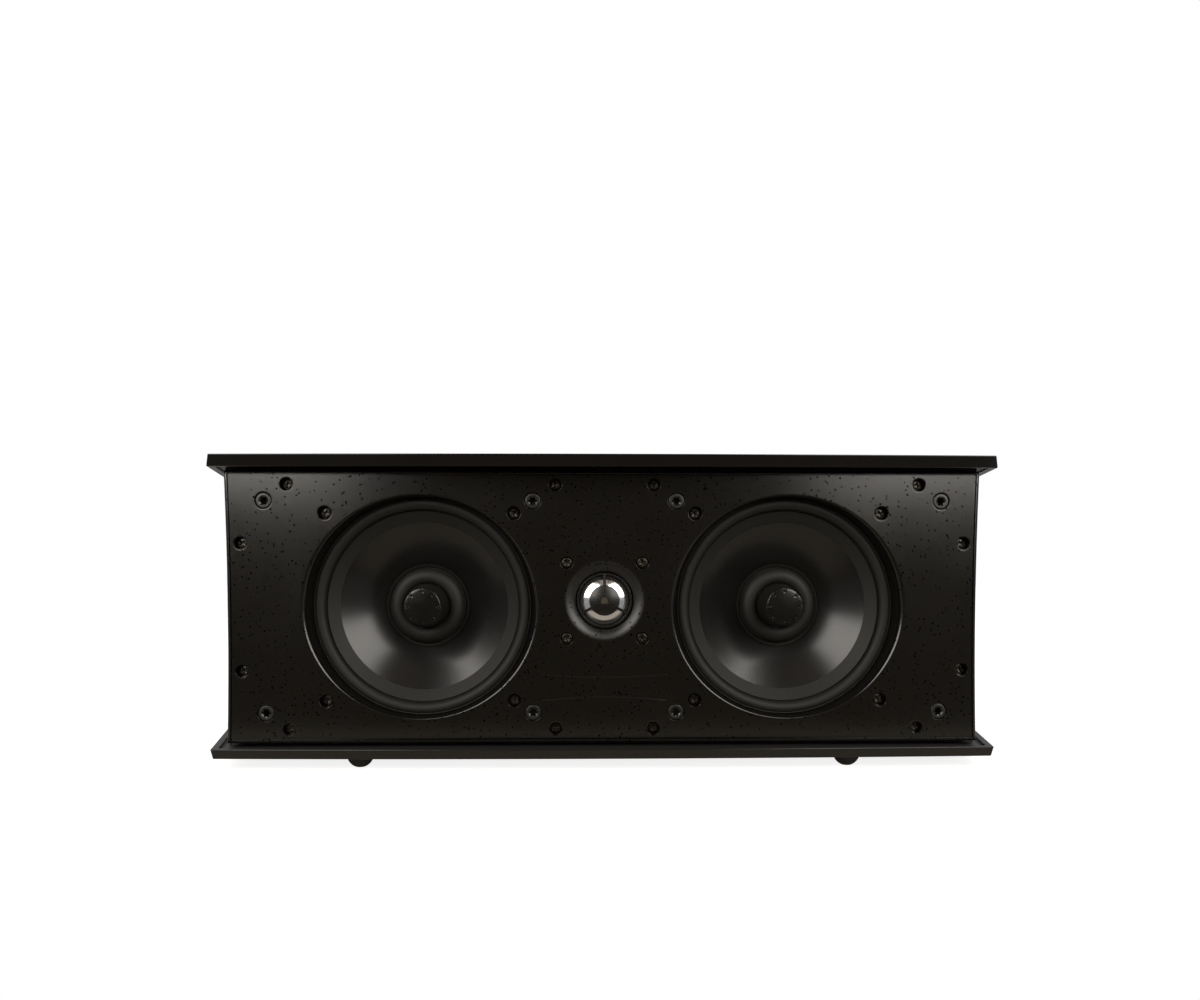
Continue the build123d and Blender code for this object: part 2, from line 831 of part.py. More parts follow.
# Dome, its surround and its coil
inner_sphere = sphere - dome_wall
inner_edge = sqrt(inner_sphere**2 - (sphere - dome_height) ** 2)
outer_dome = [
    (dome_radius * i / dome_bands, shell_depth(dome_radius * i / dome_bands, sphere))
    for i in range(dome_bands + 1)
]
inner_dome = [
    (inner_edge * i / dome_bands, shell_depth(inner_edge * i / dome_bands, inner_sphere))
    for i in range(dome_bands, -1, -2)
]
with BuildPart() as tweeter_dome:
    turn(tweeter_centre, outer_dome + inner_dome, tweeter_sides)
write(tweeter_dome, "tweeter_dome")

with BuildPart() as tweeter_surround:
    turn(
        tweeter_centre,
        ring(
            dome_radius + glue_gap,
            guard_bore - glue_gap,
            guard_depth - tweeter_surround_thickness,
            guard_depth,
        ),
        tweeter_sides,
    )
write(tweeter_surround, "tweeter_surround")

tweeter_coil_back = dome_base_depth + tweeter_coil_length
with BuildPart() as tweeter_coil:
    turn(
        tweeter_centre,
        ring(dome_radius - tweeter_coil_wall, dome_radius, dome_base_depth, tweeter_coil_back),
        tweeter_sides,
    )
write(tweeter_coil, "tweeter_coil")

# Tweeter motor: a steel cup, a disc magnet and a pole cap
tweeter_gap_radius = dome_radius + tweeter_gap
tweeter_pole_radius = dome_radius - tweeter_coil_wall - tweeter_gap
cup_floor = plate_back + tweeter_yoke_depth
pole_back = plate_back + tweeter_pole_thickness
with BuildPart() as tweeter_yoke:
    turn(
        tweeter_centre,
        [
            (tweeter_gap_radius, plate_back),
            (tweeter_yoke_radius, plate_back),
            (tweeter_yoke_radius, cup_floor + tweeter_yoke_floor),
            (0, cup_floor + tweeter_yoke_floor),
            (0, cup_floor),
            (tweeter_gap_radius, cup_floor),
        ],
        tweeter_sides,
    )
write(tweeter_yoke, "tweeter_yoke")

with BuildPart() as tweeter_magnet:
    turn(
        tweeter_centre,
        ring(0, tweeter_pole_radius - tweeter_magnet_inset, pole_back, cup_floor),
        tweeter_sides,
    )
write(tweeter_magnet, "tweeter_magnet")

with BuildPart() as tweeter_pole_cap:
    turn(tweeter_centre, ring(0, tweeter_pole_radius, plate_back, pole_back), tweeter_sides)
write(tweeter_pole_cap, "tweeter_pole_cap")

# Terminal cup: a flanged box let into the rear board
cup_floor_plane = rear_plane.offset(cup_flange - cup_hollow_depth)
cup_screw_x = cup_width / 2 - cup_screw_inset
cup_screw_z = cup_height / 2 - cup_screw_inset
cup_screw_places = [(x * cup_screw_x, z * cup_screw_z) for x in (-1, 1) for z in (-1, 1)]
post_places = [(-post_spacing / 2, 0), (post_spacing / 2, 0)]
with BuildPart() as terminal_cup:
    with BuildSketch(rear_plane):
        RectangleRounded(cup_width, cup_height, cup_flange_corner)
    extrude(amount=cup_flange)
    with BuildSketch(rear_plane):
        RectangleRounded(cup_body_width, cup_body_height, cup_corner)
    extrude(amount=cup_flange - cup_hollow_depth - cup_wall)
    with BuildSketch(rear_plane.offset(cup_flange)):
        RectangleRounded(cup_hollow_width, cup_hollow_height, cup_corner)
    extrude(amount=-cup_hollow_depth, mode=Mode.SUBTRACT)
    with BuildSketch(cup_floor_plane):
        with Locations(*post_places):
            RegularPolygon(post_tail_radius, hole_sides)
    extrude(amount=-cup_wall, mode=Mode.SUBTRACT)
    with BuildSketch(rear_plane):
        with Locations(*cup_screw_places):
            RegularPolygon(hole_radius, hole_sides)
    extrude(amount=cup_flange, mode=Mode.SUBTRACT)
write(terminal_cup, "terminal_cup")

with BuildPart() as cup_screws:
    with BuildSketch(rear_plane.offset(cup_flange)):
        with Locations(*cup_screw_places):
            RegularPolygon(cup_screw_head, small_sides)
    extrude(amount=cup_screw_height)
    with BuildSketch(rear_plane.offset(cup_flange)):
        with Locations(*cup_screw_places):
            RegularPolygon(shank_radius, shank_sides)
    extrude(amount=-cup_screw_length)
write(cup_screws, "cup_screws")

# Binding posts: a collar, a bored stud and a tail through the cup's floor, held by a nut inside
with BuildPart() as terminal_posts:
    with BuildSketch(cup_floor_plane):
        with Locations(*post_places):
            RegularPolygon(post_collar_radius, small_sides)
    extrude(amount=post_collar)
    with BuildSketch(cup_floor_plane.offset(post_collar)):
        with Locations(*post_places):
            Circle(post_radius)
    extrude(amount=post_length - post_collar)
    with BuildSketch(cup_floor_plane):
        with Locations(*post_places):
            RegularPolygon(post_tail_radius, hole_sides)
    extrude(amount=-post_tail)
    with BuildSketch(cup_floor_plane.offset(post_length)):
        with Locations(*post_places):
            Circle(post_bore_radius)
    extrude(amount=-post_bore_depth, mode=Mode.SUBTRACT)
write(terminal_posts, "terminal_posts")

with BuildPart() as terminal_nuts:
    with BuildSketch(cup_floor_plane.offset(-cup_wall)):
        with Locations(*post_places):
            RegularPolygon(nut_size / 2, 6, major_radius=False)
            RegularPolygon(post_tail_radius, hole_sides, mode=Mode.SUBTRACT)
    extrude(amount=-nut_height)
write(terminal_nuts, "terminal_nuts")

knob_start = post_collar + knob_gap
for name, place in zip(("knob_negative", "knob_positive"), post_places):
    with BuildPart() as knob:
        with BuildSketch(cup_floor_plane.offset(knob_start)):
            with Locations(place):
                RegularPolygon(knob_radius, knob_flutes)
                Circle(post_radius + knob_fit, mode=Mode.SUBTRACT)
        extrude(amount=knob_length)
    write(knob, name)

# Crossover: a board on standoffs with coils, capacitors and resistors
board_floor = inner_floor + standoff_height
board_top = board_floor + crossover_thickness
board_middle = inner_rear - crossover_rear_gap - crossover_length / 2
board_plane = Plane(origin=(0, board_middle, board_floor))
parts_plane = Plane(origin=(0, board_middle, board_top))
with BuildPart() as board_standoffs:
    with BuildSketch(Plane(origin=(0, board_middle, inner_floor))):
        with GridLocations(crossover_width - 2 * standoff_inset, crossover_length - 2 * standoff_inset, 2, 2):
            RegularPolygon(standoff_radius, small_sides)
    extrude(amount=standoff_height)
write(board_standoffs, "board_standoffs")

with BuildPart() as crossover_board:
    with BuildSketch(board_plane):
        Rectangle(crossover_width, crossover_length)
    extrude(amount=crossover_thickness)
write(crossover_board, "crossover_board")

coil_row = crossover_length / 2 - standoff_inset - inductor_radius
with BuildPart() as crossover_coils:
    with BuildSketch(parts_plane):
        with Locations((-inductor_spacing / 2, coil_row), (inductor_spacing / 2, coil_row)):
            RegularPolygon(inductor_radius, small_sides)
            RegularPolygon(inductor_bore, small_sides, mode=Mode.SUBTRACT)
    extrude(amount=inductor_height)
write(crossover_coils, "crossover_coils")

can_row = coil_row - inductor_radius - capacitor_radius - part_lift
with BuildPart() as crossover_capacitors:
    for x in (-capacitor_length / 2 - part_lift, capacitor_length / 2 + part_lift):
        can_end = (x - capacitor_length / 2, board_middle + can_row, board_top + capacitor_radius + part_lift)
        with BuildSketch(Plane(origin=can_end, x_dir=(0, 1, 0), z_dir=(1, 0, 0))):
            RegularPolygon(capacitor_radius, small_sides)
        extrude(amount=capacitor_length)
write(crossover_capacitors, "crossover_capacitors")

with BuildPart() as crossover_resistors:
    with BuildSketch(parts_plane):
        with Locations((0, coil_row - resistor_spacing / 2), (0, coil_row + resistor_spacing / 2)):
            Rectangle(resistor_length, resistor_size)
    extrude(amount=resistor_size)
write(crossover_resistors, "crossover_resistors")

# Damping pads on the inside of the rear board
with BuildPart() as damping_pads:
    with BuildSketch(rear_plane.offset(-board - part_lift)):
        with Locations((-pad_spacing / 2, 0), (pad_spacing / 2, 0)):
            Rectangle(pad_width, inner_roof - inner_floor - 2 * pad_margin)
    extrude(amount=-pad_thickness)
write(damping_pads, "damping_pads")
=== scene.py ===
# Center channel speaker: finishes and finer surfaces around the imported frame
# Sizes are in millimetres; depths are counted from the baffle's face towards the rear
import json

import bmesh
import bpy
import numpy as np
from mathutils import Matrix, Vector
from mathutils.geometry import delaunay_2d_cdt


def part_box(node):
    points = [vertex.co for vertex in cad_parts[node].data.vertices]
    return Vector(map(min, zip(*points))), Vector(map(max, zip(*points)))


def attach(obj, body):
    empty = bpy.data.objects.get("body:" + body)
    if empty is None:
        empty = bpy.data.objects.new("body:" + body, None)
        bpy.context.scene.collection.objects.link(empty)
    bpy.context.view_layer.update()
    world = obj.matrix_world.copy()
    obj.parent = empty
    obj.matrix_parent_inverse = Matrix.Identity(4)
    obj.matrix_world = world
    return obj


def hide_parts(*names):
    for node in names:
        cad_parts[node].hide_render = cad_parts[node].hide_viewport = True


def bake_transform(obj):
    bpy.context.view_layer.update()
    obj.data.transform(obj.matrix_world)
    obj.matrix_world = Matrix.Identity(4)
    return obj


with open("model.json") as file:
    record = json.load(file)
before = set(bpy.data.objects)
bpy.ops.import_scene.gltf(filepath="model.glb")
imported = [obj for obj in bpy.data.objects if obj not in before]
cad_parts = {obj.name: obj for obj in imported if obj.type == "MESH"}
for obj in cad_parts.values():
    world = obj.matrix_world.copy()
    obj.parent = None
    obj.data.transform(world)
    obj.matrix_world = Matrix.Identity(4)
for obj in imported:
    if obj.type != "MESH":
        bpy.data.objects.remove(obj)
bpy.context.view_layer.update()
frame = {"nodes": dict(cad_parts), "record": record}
nodes = frame["nodes"]
mm = 0.001
seeded = np.random.default_rng(11)


# Places read from the frame

def boxOf(node):  # lowest and highest corner of a CAD node
    low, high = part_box(node)
    return np.array(low) / mm, np.array(high) / mm


def middleOf(node):
    low, high = boxOf(node)
    return (low + high) / 2


def solidPlaces(node, apart=12):  # middles of a node's solids, seen from the front
    points = np.empty(len(nodes[node].data.vertices) * 3)
    nodes[node].data.vertices.foreach_get("co", points)
    left = points.reshape(-1, 3)[:, [0, 2]] / mm
    found = []
    while len(left):
        near = np.abs(left - left[0]).max(axis=1) < apart  # nearer points are of one solid
        found.append((left[near].min(axis=0) + left[near].max(axis=0)) / 2)
        left = left[~near]
    return np.array(found)


baffleLow, baffleHigh = boxOf("front_baffle")
faceY = baffleLow[1]
baffleThickness = baffleHigh[1] - baffleLow[1]
axisHeight = (baffleLow[2] + baffleHigh[2]) / 2
wooferPlaces = {side: middleOf(f"cone_{side}")[[0, 2]] for side in ("left", "right")}
tweeterPlace = middleOf("tweeter_dome")[[0, 2]]
print("frame read:", len(nodes), "nodes")


# Surfaces

def roundAngles(segments):  # even steps once round
    return np.linspace(0, 2 * np.pi, segments, endpoint=False)


def quarterTurn(steps):
    return np.linspace(0, np.pi / 2, steps)


def gridFaces(rows, columns, wrapRows=False):  # quads between the rows; columns always join round
    row = np.arange(rows if wrapRows else rows - 1)[:, None]
    column = np.arange(columns)[None, :]
    here = row * columns
    below = (row + 1) % rows * columns
    right = (column + 1) % columns
    return np.stack([here + column, below + column, below + right, here + right], axis=-1).reshape(-1, 4)


def cappedFaces(rows, columns):  # the same, with the first and the last row each closed by a face
    last = (rows - 1) * columns
    ends = [list(range(columns)), list(range(last, last + columns))]
    return gridFaces(rows, columns).tolist() + ends


def around(radius, depth, angle, place):
    # about the axis through place: x = place + radius * cos a, z = place + radius * sin a, y = face + depth
    radius, depth, angle = np.broadcast_arrays(radius, depth, angle)
    x = place[0] + radius * np.cos(angle)
    z = place[1] + radius * np.sin(angle)
    return np.stack([x, faceY + depth, z], axis=-1)


def ovals(rows, place, segments, wrap=False):
    # rows of (half width, half height, depth) carried round the axis through place:
    # x = place + half width * cos a, z = place + half height * sin a, y = face + depth
    rows = np.asarray(rows, float)[:, :, None]
    angle = roundAngles(segments)
    x = place[0] + rows[:, 0] * np.cos(angle)
    z = place[1] + rows[:, 1] * np.sin(angle)
    y = np.broadcast_to(faceY + rows[:, 2], x.shape)
    return np.stack([x, y, z], axis=-1), gridFaces(len(rows), segments, wrap)


def turned(profile, place, segments, wrap=True):  # a (radius, depth) profile turned about the axis
    profile = np.asarray(profile, float)
    return ovals(profile[:, [0, 0, 1]], place, segments, wrap)


def arc(start, end, bulge, steps):
    # half an ellipse from start to end: the chord, plus bulge * sin u square to it, for u from 0 to pi
    start = np.array(start, float)
    end = np.array(end, float)
    u = np.linspace(0, np.pi, steps)[:, None]
    square = np.array([end[1] - start[1], start[0] - end[0]]) / np.linalg.norm(end - start)
    return start + (end - start) * (1 - np.cos(u)) / 2 + bulge * np.sin(u) * square


def rounded(corners, steps=5, closed=True):
    # a profile of (radius, depth, fillet) corners; each fillet is a circular arc that touches both its edges
    points = []
    count = len(corners)
    for i, (radius, depth, fillet) in enumerate(corners):
        here = np.array([radius, depth], float)
        if fillet == 0 or (not closed and i in (0, count - 1)):
            points.append(here[None])
            continue
        ways = [np.array(corners[k % count][:2], float) - here for k in (i - 1, i + 1)]
        before, after = (way / np.linalg.norm(way) for way in ways)
        half = np.arccos(np.clip(before @ after, -1, 1)) / 2
        middle = here + (before + after) / np.linalg.norm(before + after) * fillet / np.sin(half)
        first, last = (here + way * fillet / np.tan(half) - middle for way in (before, after))
        sweep = np.pi - 2 * half
        share = np.linspace(0, 1, steps)[:, None]
        swung = np.sin((1 - share) * sweep) * first + np.sin(share * sweep) * last
        points.append(middle + swung / np.sin(sweep))
    return np.concatenate(points)


def shell(line, thickness):  # closed section: a line, and the same line moved square to itself
    line = np.asarray(line, float)
    along = np.gradient(line, axis=0)
    along /= np.linalg.norm(along, axis=1, keepdims=True)
    square = np.stack([along[:, 1], -along[:, 0]], axis=1)
    return np.concatenate([line, (line + square * thickness)[::-1]])


def insetLoop(loop, distance):  # moves each edge of an anticlockwise loop inwards; neighbours meet at mitres
    along = np.roll(loop, -1, axis=0) - loop
    along /= np.linalg.norm(along, axis=1, keepdims=True)
    inward = np.stack([-along[:, 1], along[:, 0]], axis=1)
    before = np.roll(inward, 1, axis=0)
    return loop + distance * (inward + before) / (1 + (inward * before).sum(axis=1, keepdims=True))


def upright(loop, y):  # a loop of (x, z) at one place along y
    return np.column_stack([loop[:, 0], np.full(len(loop), y), loop[:, 1]])


def roundedRectangle(width, height, corner, steps=8):  # anticlockwise loop: four quarter circles
    middles = np.array([[1, 1], [-1, 1], [-1, -1], [1, -1]]) * [width / 2 - corner, height / 2 - corner]
    angle = quarterTurn(steps) + np.arange(4)[:, None] * np.pi / 2
    loop = middles[:, None] + corner * np.stack([np.cos(angle), np.sin(angle)], axis=-1)
    return loop.reshape(-1, 2)


def depthPoint(place, depth):  # a point at a depth behind a place on the face, in metres
    return (place[0] * mm, (faceY + depth) * mm, place[1] * mm)


def addPiece(name, grids, slot, body="cabinet", standsFor=(), sharp=38, blend=None):
    # joins grids of (points, faces) in one mesh; doubles are merged, which closes seams and poles
    allPoints, allFaces, offset = [], [], 0
    for points, faces in grids:
        points = np.asarray(points, float).reshape(-1, 3)
        allPoints.append(points)
        allFaces += [[corner + offset for corner in face] for face in faces]
        offset += len(points)
    mesh = bpy.data.meshes.new(name)
    mesh.from_pydata((np.concatenate(allPoints) * mm).tolist(), [], allFaces)
    work = bmesh.new()
    work.from_mesh(mesh)
    bmesh.ops.remove_doubles(work, verts=work.verts, dist=0.002 * mm)
    bmesh.ops.recalc_face_normals(work, faces=work.faces)
    work.to_mesh(mesh)
    work.free()
    mesh.shade_smooth()
    mesh.set_sharp_from_angle(angle=np.radians(sharp))
    mesh.materials.append(finishes[slot])
    piece = bpy.data.objects.new(name, mesh)
    bpy.context.scene.collection.objects.link(piece)
    if blend:
        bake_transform(piece)
    else:
        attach(piece, body)
    if standsFor:
        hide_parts(*standsFor)
    return piece


# Finishes

def linear(code):  # sRGB hex to linear colour
    parts = np.array([int(code[i:i + 2], 16) for i in (1, 3, 5)]) / 255
    parts = np.where(parts <= 0.04045, parts / 12.92, ((parts + 0.055) / 1.055) ** 2.4)
    return (*parts.tolist(), 1.0)


def setInputs(tree, node, inputs):  # a socket or a node's first output is linked, anything else is set
    for key, value in inputs.items():
        if isinstance(value, bpy.types.Node):
            value = value.outputs[0]
        if isinstance(value, bpy.types.NodeSocket):
            tree.links.new(value, node.inputs[key])
        else:
            node.inputs[key].default_value = value


def addNode(tree, kind, inputs=None, stops=(), **settings):  # a node with its settings and links
    node = tree.nodes.new("ShaderNode" + kind)
    for key, value in settings.items():
        setattr(node, key, value)
    setInputs(tree, node, inputs or {})
    for i, (position, colour) in enumerate(stops):  # along a colour ramp
        node.color_ramp.elements[i].position = position
        node.color_ramp.elements[i].color = linear(colour)
    return node


def startFinish(name, **sockets):  # a Principled material; gives its tree, shader and Object coordinates
    finish = bpy.data.materials.new(name)
    finish.use_nodes = True
    tree = finish.node_tree
    shader = tree.nodes["Principled BSDF"]
    setInputs(tree, shader, {key.replace("_", " "): value for key, value in sockets.items()})
    return finish, tree, shader, addNode(tree, "TexCoord").outputs["Object"]


def perMetre(size):  # texture scale whose features are about size millimetres
    return 1 / (size * mm)


noiseLow = 0.3  # most values of a noise lie between these two
noiseHigh = 0.7


def mottled(name, dark, light, roughness, grain, lift=0.0, stretch=(1, 1, 1), **sockets):
    # two close colours blended by noise of the given grain, which also sways the roughness and lifts a bump
    finish, tree, shader, place = startFinish(name, **sockets)
    drawn = addNode(tree, "Mapping", {"Vector": place, "Scale": stretch})
    noise = addNode(tree, "TexNoise", {"Vector": drawn, "Scale": perMetre(grain), "Detail": 4.0})
    colours = addNode(tree, "ValToRGB", {"Fac": noise}, stops=((0.35, dark), (0.65, light)))
    smooth, rough = roughness
    sway = addNode(tree, "MapRange", {0: noise, 1: noiseLow, 2: noiseHigh, 3: smooth, 4: rough})
    setInputs(tree, shader, {"Base Color": colours, "Roughness": sway})
    if lift:
        bump = addNode(tree, "Bump", {"Height": noise, "Distance": lift * mm, "Strength": 1.0})
        setInputs(tree, shader, {"Normal": bump})
    return finish


baffleFinishSizes = {"grain": 0.45, "grainLift": 0.020, "cloud": 40, "roughness": (0.15, 0.18),
                     "pitSpacing": 3.0, "pitSizes": (0.45, 0.65), "pitEdge": 0.03, "sheen": (0.5, 0.04),
                     "patch": 25, "patchRange": (0.35, 0.60), "dish": (21.8, 23.4), "dishRoughness": 0.38}


def satinMouldedAbs():
    # black ABS from a spark-eroded mould: satin sheen from a fine grain, and dull pits in clusters whose
    # darker colour is painted shade
    sizes = baffleFinishSizes
    finish, tree, shader, place = startFinish("satinMouldedAbs")
    grain, cloud, patch = (
        addNode(tree, "TexNoise", {"Vector": place, "Scale": perMetre(sizes[size]), "Detail": 3.0})
        for size in ("grain", "cloud", "patch"))
    # a pit is where the face cuts close to a scattered point; patches of noise thin the pits out
    spacing = sizes["pitSpacing"]
    points = addNode(tree, "TexVoronoi", {"Vector": place, "Scale": perMetre(spacing)}).outputs["Distance"]
    least, most = (size / spacing for size in sizes["pitSizes"])
    patchLow, patchHigh = sizes["patchRange"]
    reach = addNode(tree, "MapRange", {0: patch, 1: patchLow, 2: patchHigh, 3: least, 4: most})
    inPit = addNode(tree, "Math", {0: reach, 1: points}, operation="SUBTRACT")
    shadedPit = addNode(tree, "MapRange", {0: inPit, 1: 0.0, 2: sizes["pitEdge"], 3: 0.0, 4: 1.0})
    plain = addNode(tree, "ValToRGB", {"Fac": cloud}, stops=((0, "#0b0a08"), (1, "#0e0d0b")))
    # the pits' colour is darkened to #040403 as painted shade in the small hollows; their lower sheen below
    # is the material's own
    colour = addNode(tree, "Mix", {0: shadedPit, 6: plain, 7: linear("#040403")}, data_type="RGBA").outputs[2]
    plainSheen, pitSheen = sizes["sheen"]
    sheen = addNode(tree, "MapRange", {0: shadedPit, 1: 0.0, 2: 1.0, 3: plainSheen, 4: pitSheen})
    smooth, rough = sizes["roughness"]
    sway = addNode(tree, "MapRange", {0: cloud, 1: noiseLow, 2: noiseHigh, 3: smooth, 4: rough})
    # the dish round the tweeter is blasted duller, so that light spreads softly over it
    across = addNode(tree, "VectorMath", {0: place, 1: (1, 0, 1)}, operation="MULTIPLY")
    axis = (tweeterPlace[0] * mm, 0, tweeterPlace[1] * mm)
    off = addNode(tree, "VectorMath", {0: across, 1: axis}, operation="DISTANCE").outputs["Value"]
    inner, outer = (size * mm for size in sizes["dish"])
    dull = addNode(tree, "MapRange", {0: off, 1: inner, 2: outer, 3: sizes["dishRoughness"], 4: sway})
    bump = addNode(tree, "Bump", {"Height": grain, "Distance": sizes["grainLift"] * mm, "Strength": 1.0})
    setInputs(tree, shader, {"Base Color": colour, "Specular IOR Level": sheen, "Roughness": dull,
                             "Normal": bump})
    return finish


capFinishSizes = {"grain": 0.5, "grainLift": 0.02, "cloud": 30, "level": (0.8, 0.97),
                  "roughness": (0.10, 0.62)}


def polishedStyrene():
    # black styrene: polished upright edges, and a fine satin grain on the broad flat faces
    sizes = capFinishSizes
    finish, tree, shader, place = startFinish("polishedStyrene")
    grain, cloud = (
        addNode(tree, "TexNoise", {"Vector": place, "Scale": perMetre(sizes[size]), "Detail": 3.0})
        for size in ("grain", "cloud"))
    colours = addNode(tree, "ValToRGB", {"Fac": cloud}, stops=((0, "#0c0b0a"), (1, "#100f0e")))
    upward = addNode(tree, "SeparateXYZ", {0: addNode(tree, "NewGeometry").outputs["Normal"]}).outputs["Z"]
    level = addNode(tree, "Math", {0: upward}, operation="ABSOLUTE")
    tilted, flush = sizes["level"]
    flat = addNode(tree, "MapRange", {0: level, 1: tilted, 2: flush, 3: 0.0, 4: 1.0})
    smooth, rough = sizes["roughness"]
    sway = addNode(tree, "MapRange", {0: flat, 1: 0.0, 2: 1.0, 3: smooth, 4: rough})
    height = addNode(tree, "Math", {0: grain, 1: flat}, operation="MULTIPLY")
    bump = addNode(tree, "Bump", {"Height": height, "Distance": sizes["grainLift"] * mm, "Strength": 1.0})
    setInputs(tree, shader, {"Base Color": colours, "Roughness": sway, "Normal": bump})
    return finish


wrapFinishSizes = {"grain": 1.1, "grainLift": 0.05, "grainStrength": 0.6, "cloud": 35,
                   "roughness": (0.44, 0.54)}


def blackVinylWrap():
    # printed vinyl film on board: even black with a fine pressed leather grain, satin
    sizes = wrapFinishSizes
    finish, tree, shader, place = startFinish("blackVinylWrap", Specular_IOR_Level=0.45)
    grainScale, cloudScale = (perMetre(sizes[size]) for size in ("grain", "cloud"))
    cells = addNode(tree, "TexVoronoi", {"Vector": place, "Scale": grainScale}, feature="SMOOTH_F1")
    cloud = addNode(tree, "TexNoise", {"Vector": place, "Scale": cloudScale, "Detail": 3.0})
    colours = addNode(tree, "ValToRGB", {"Fac": cloud}, stops=((0, "#131210"), (1, "#1b1916")))
    smooth, rough = sizes["roughness"]
    sway = addNode(tree, "MapRange", {0: cloud, 1: noiseLow, 2: noiseHigh, 3: smooth, 4: rough})
    lift = sizes["grainLift"] * mm
    bump = addNode(tree, "Bump", {"Height": cells, "Distance": lift, "Strength": sizes["grainStrength"]})
    setInputs(tree, shader, {"Base Color": colours, "Roughness": sway, "Normal": bump})
    return finish


clothSizes = {"roughness": 0.8, "turn": 6.28, "lift": 0.1, "strength": 0.8}


def wovenCloth(name, dark, light, thread):
    # dipped cloth: two sets of threads as crossed waves, drawn coarser than life so that they show
    sizes = clothSizes
    finish, tree, shader, place = startFinish(name, Roughness=sizes["roughness"])
    wave = {"Vector": place, "Scale": perMetre(thread) / sizes["turn"], "Distortion": 0.0}
    warp = addNode(tree, "TexWave", wave, bands_direction="X").outputs["Fac"]
    weft = addNode(tree, "TexWave", wave, bands_direction="Z").outputs["Fac"]
    weave = addNode(tree, "Math", {0: warp, 1: weft}, operation="MULTIPLY")
    colours = addNode(tree, "ValToRGB", {"Fac": weave}, stops=((0, dark), (1, light)))
    lift = sizes["lift"] * mm
    bump = addNode(tree, "Bump", {"Height": weave, "Distance": lift, "Strength": sizes["strength"]})
    setInputs(tree, shader, {"Base Color": colours, "Normal": bump})
    return finish


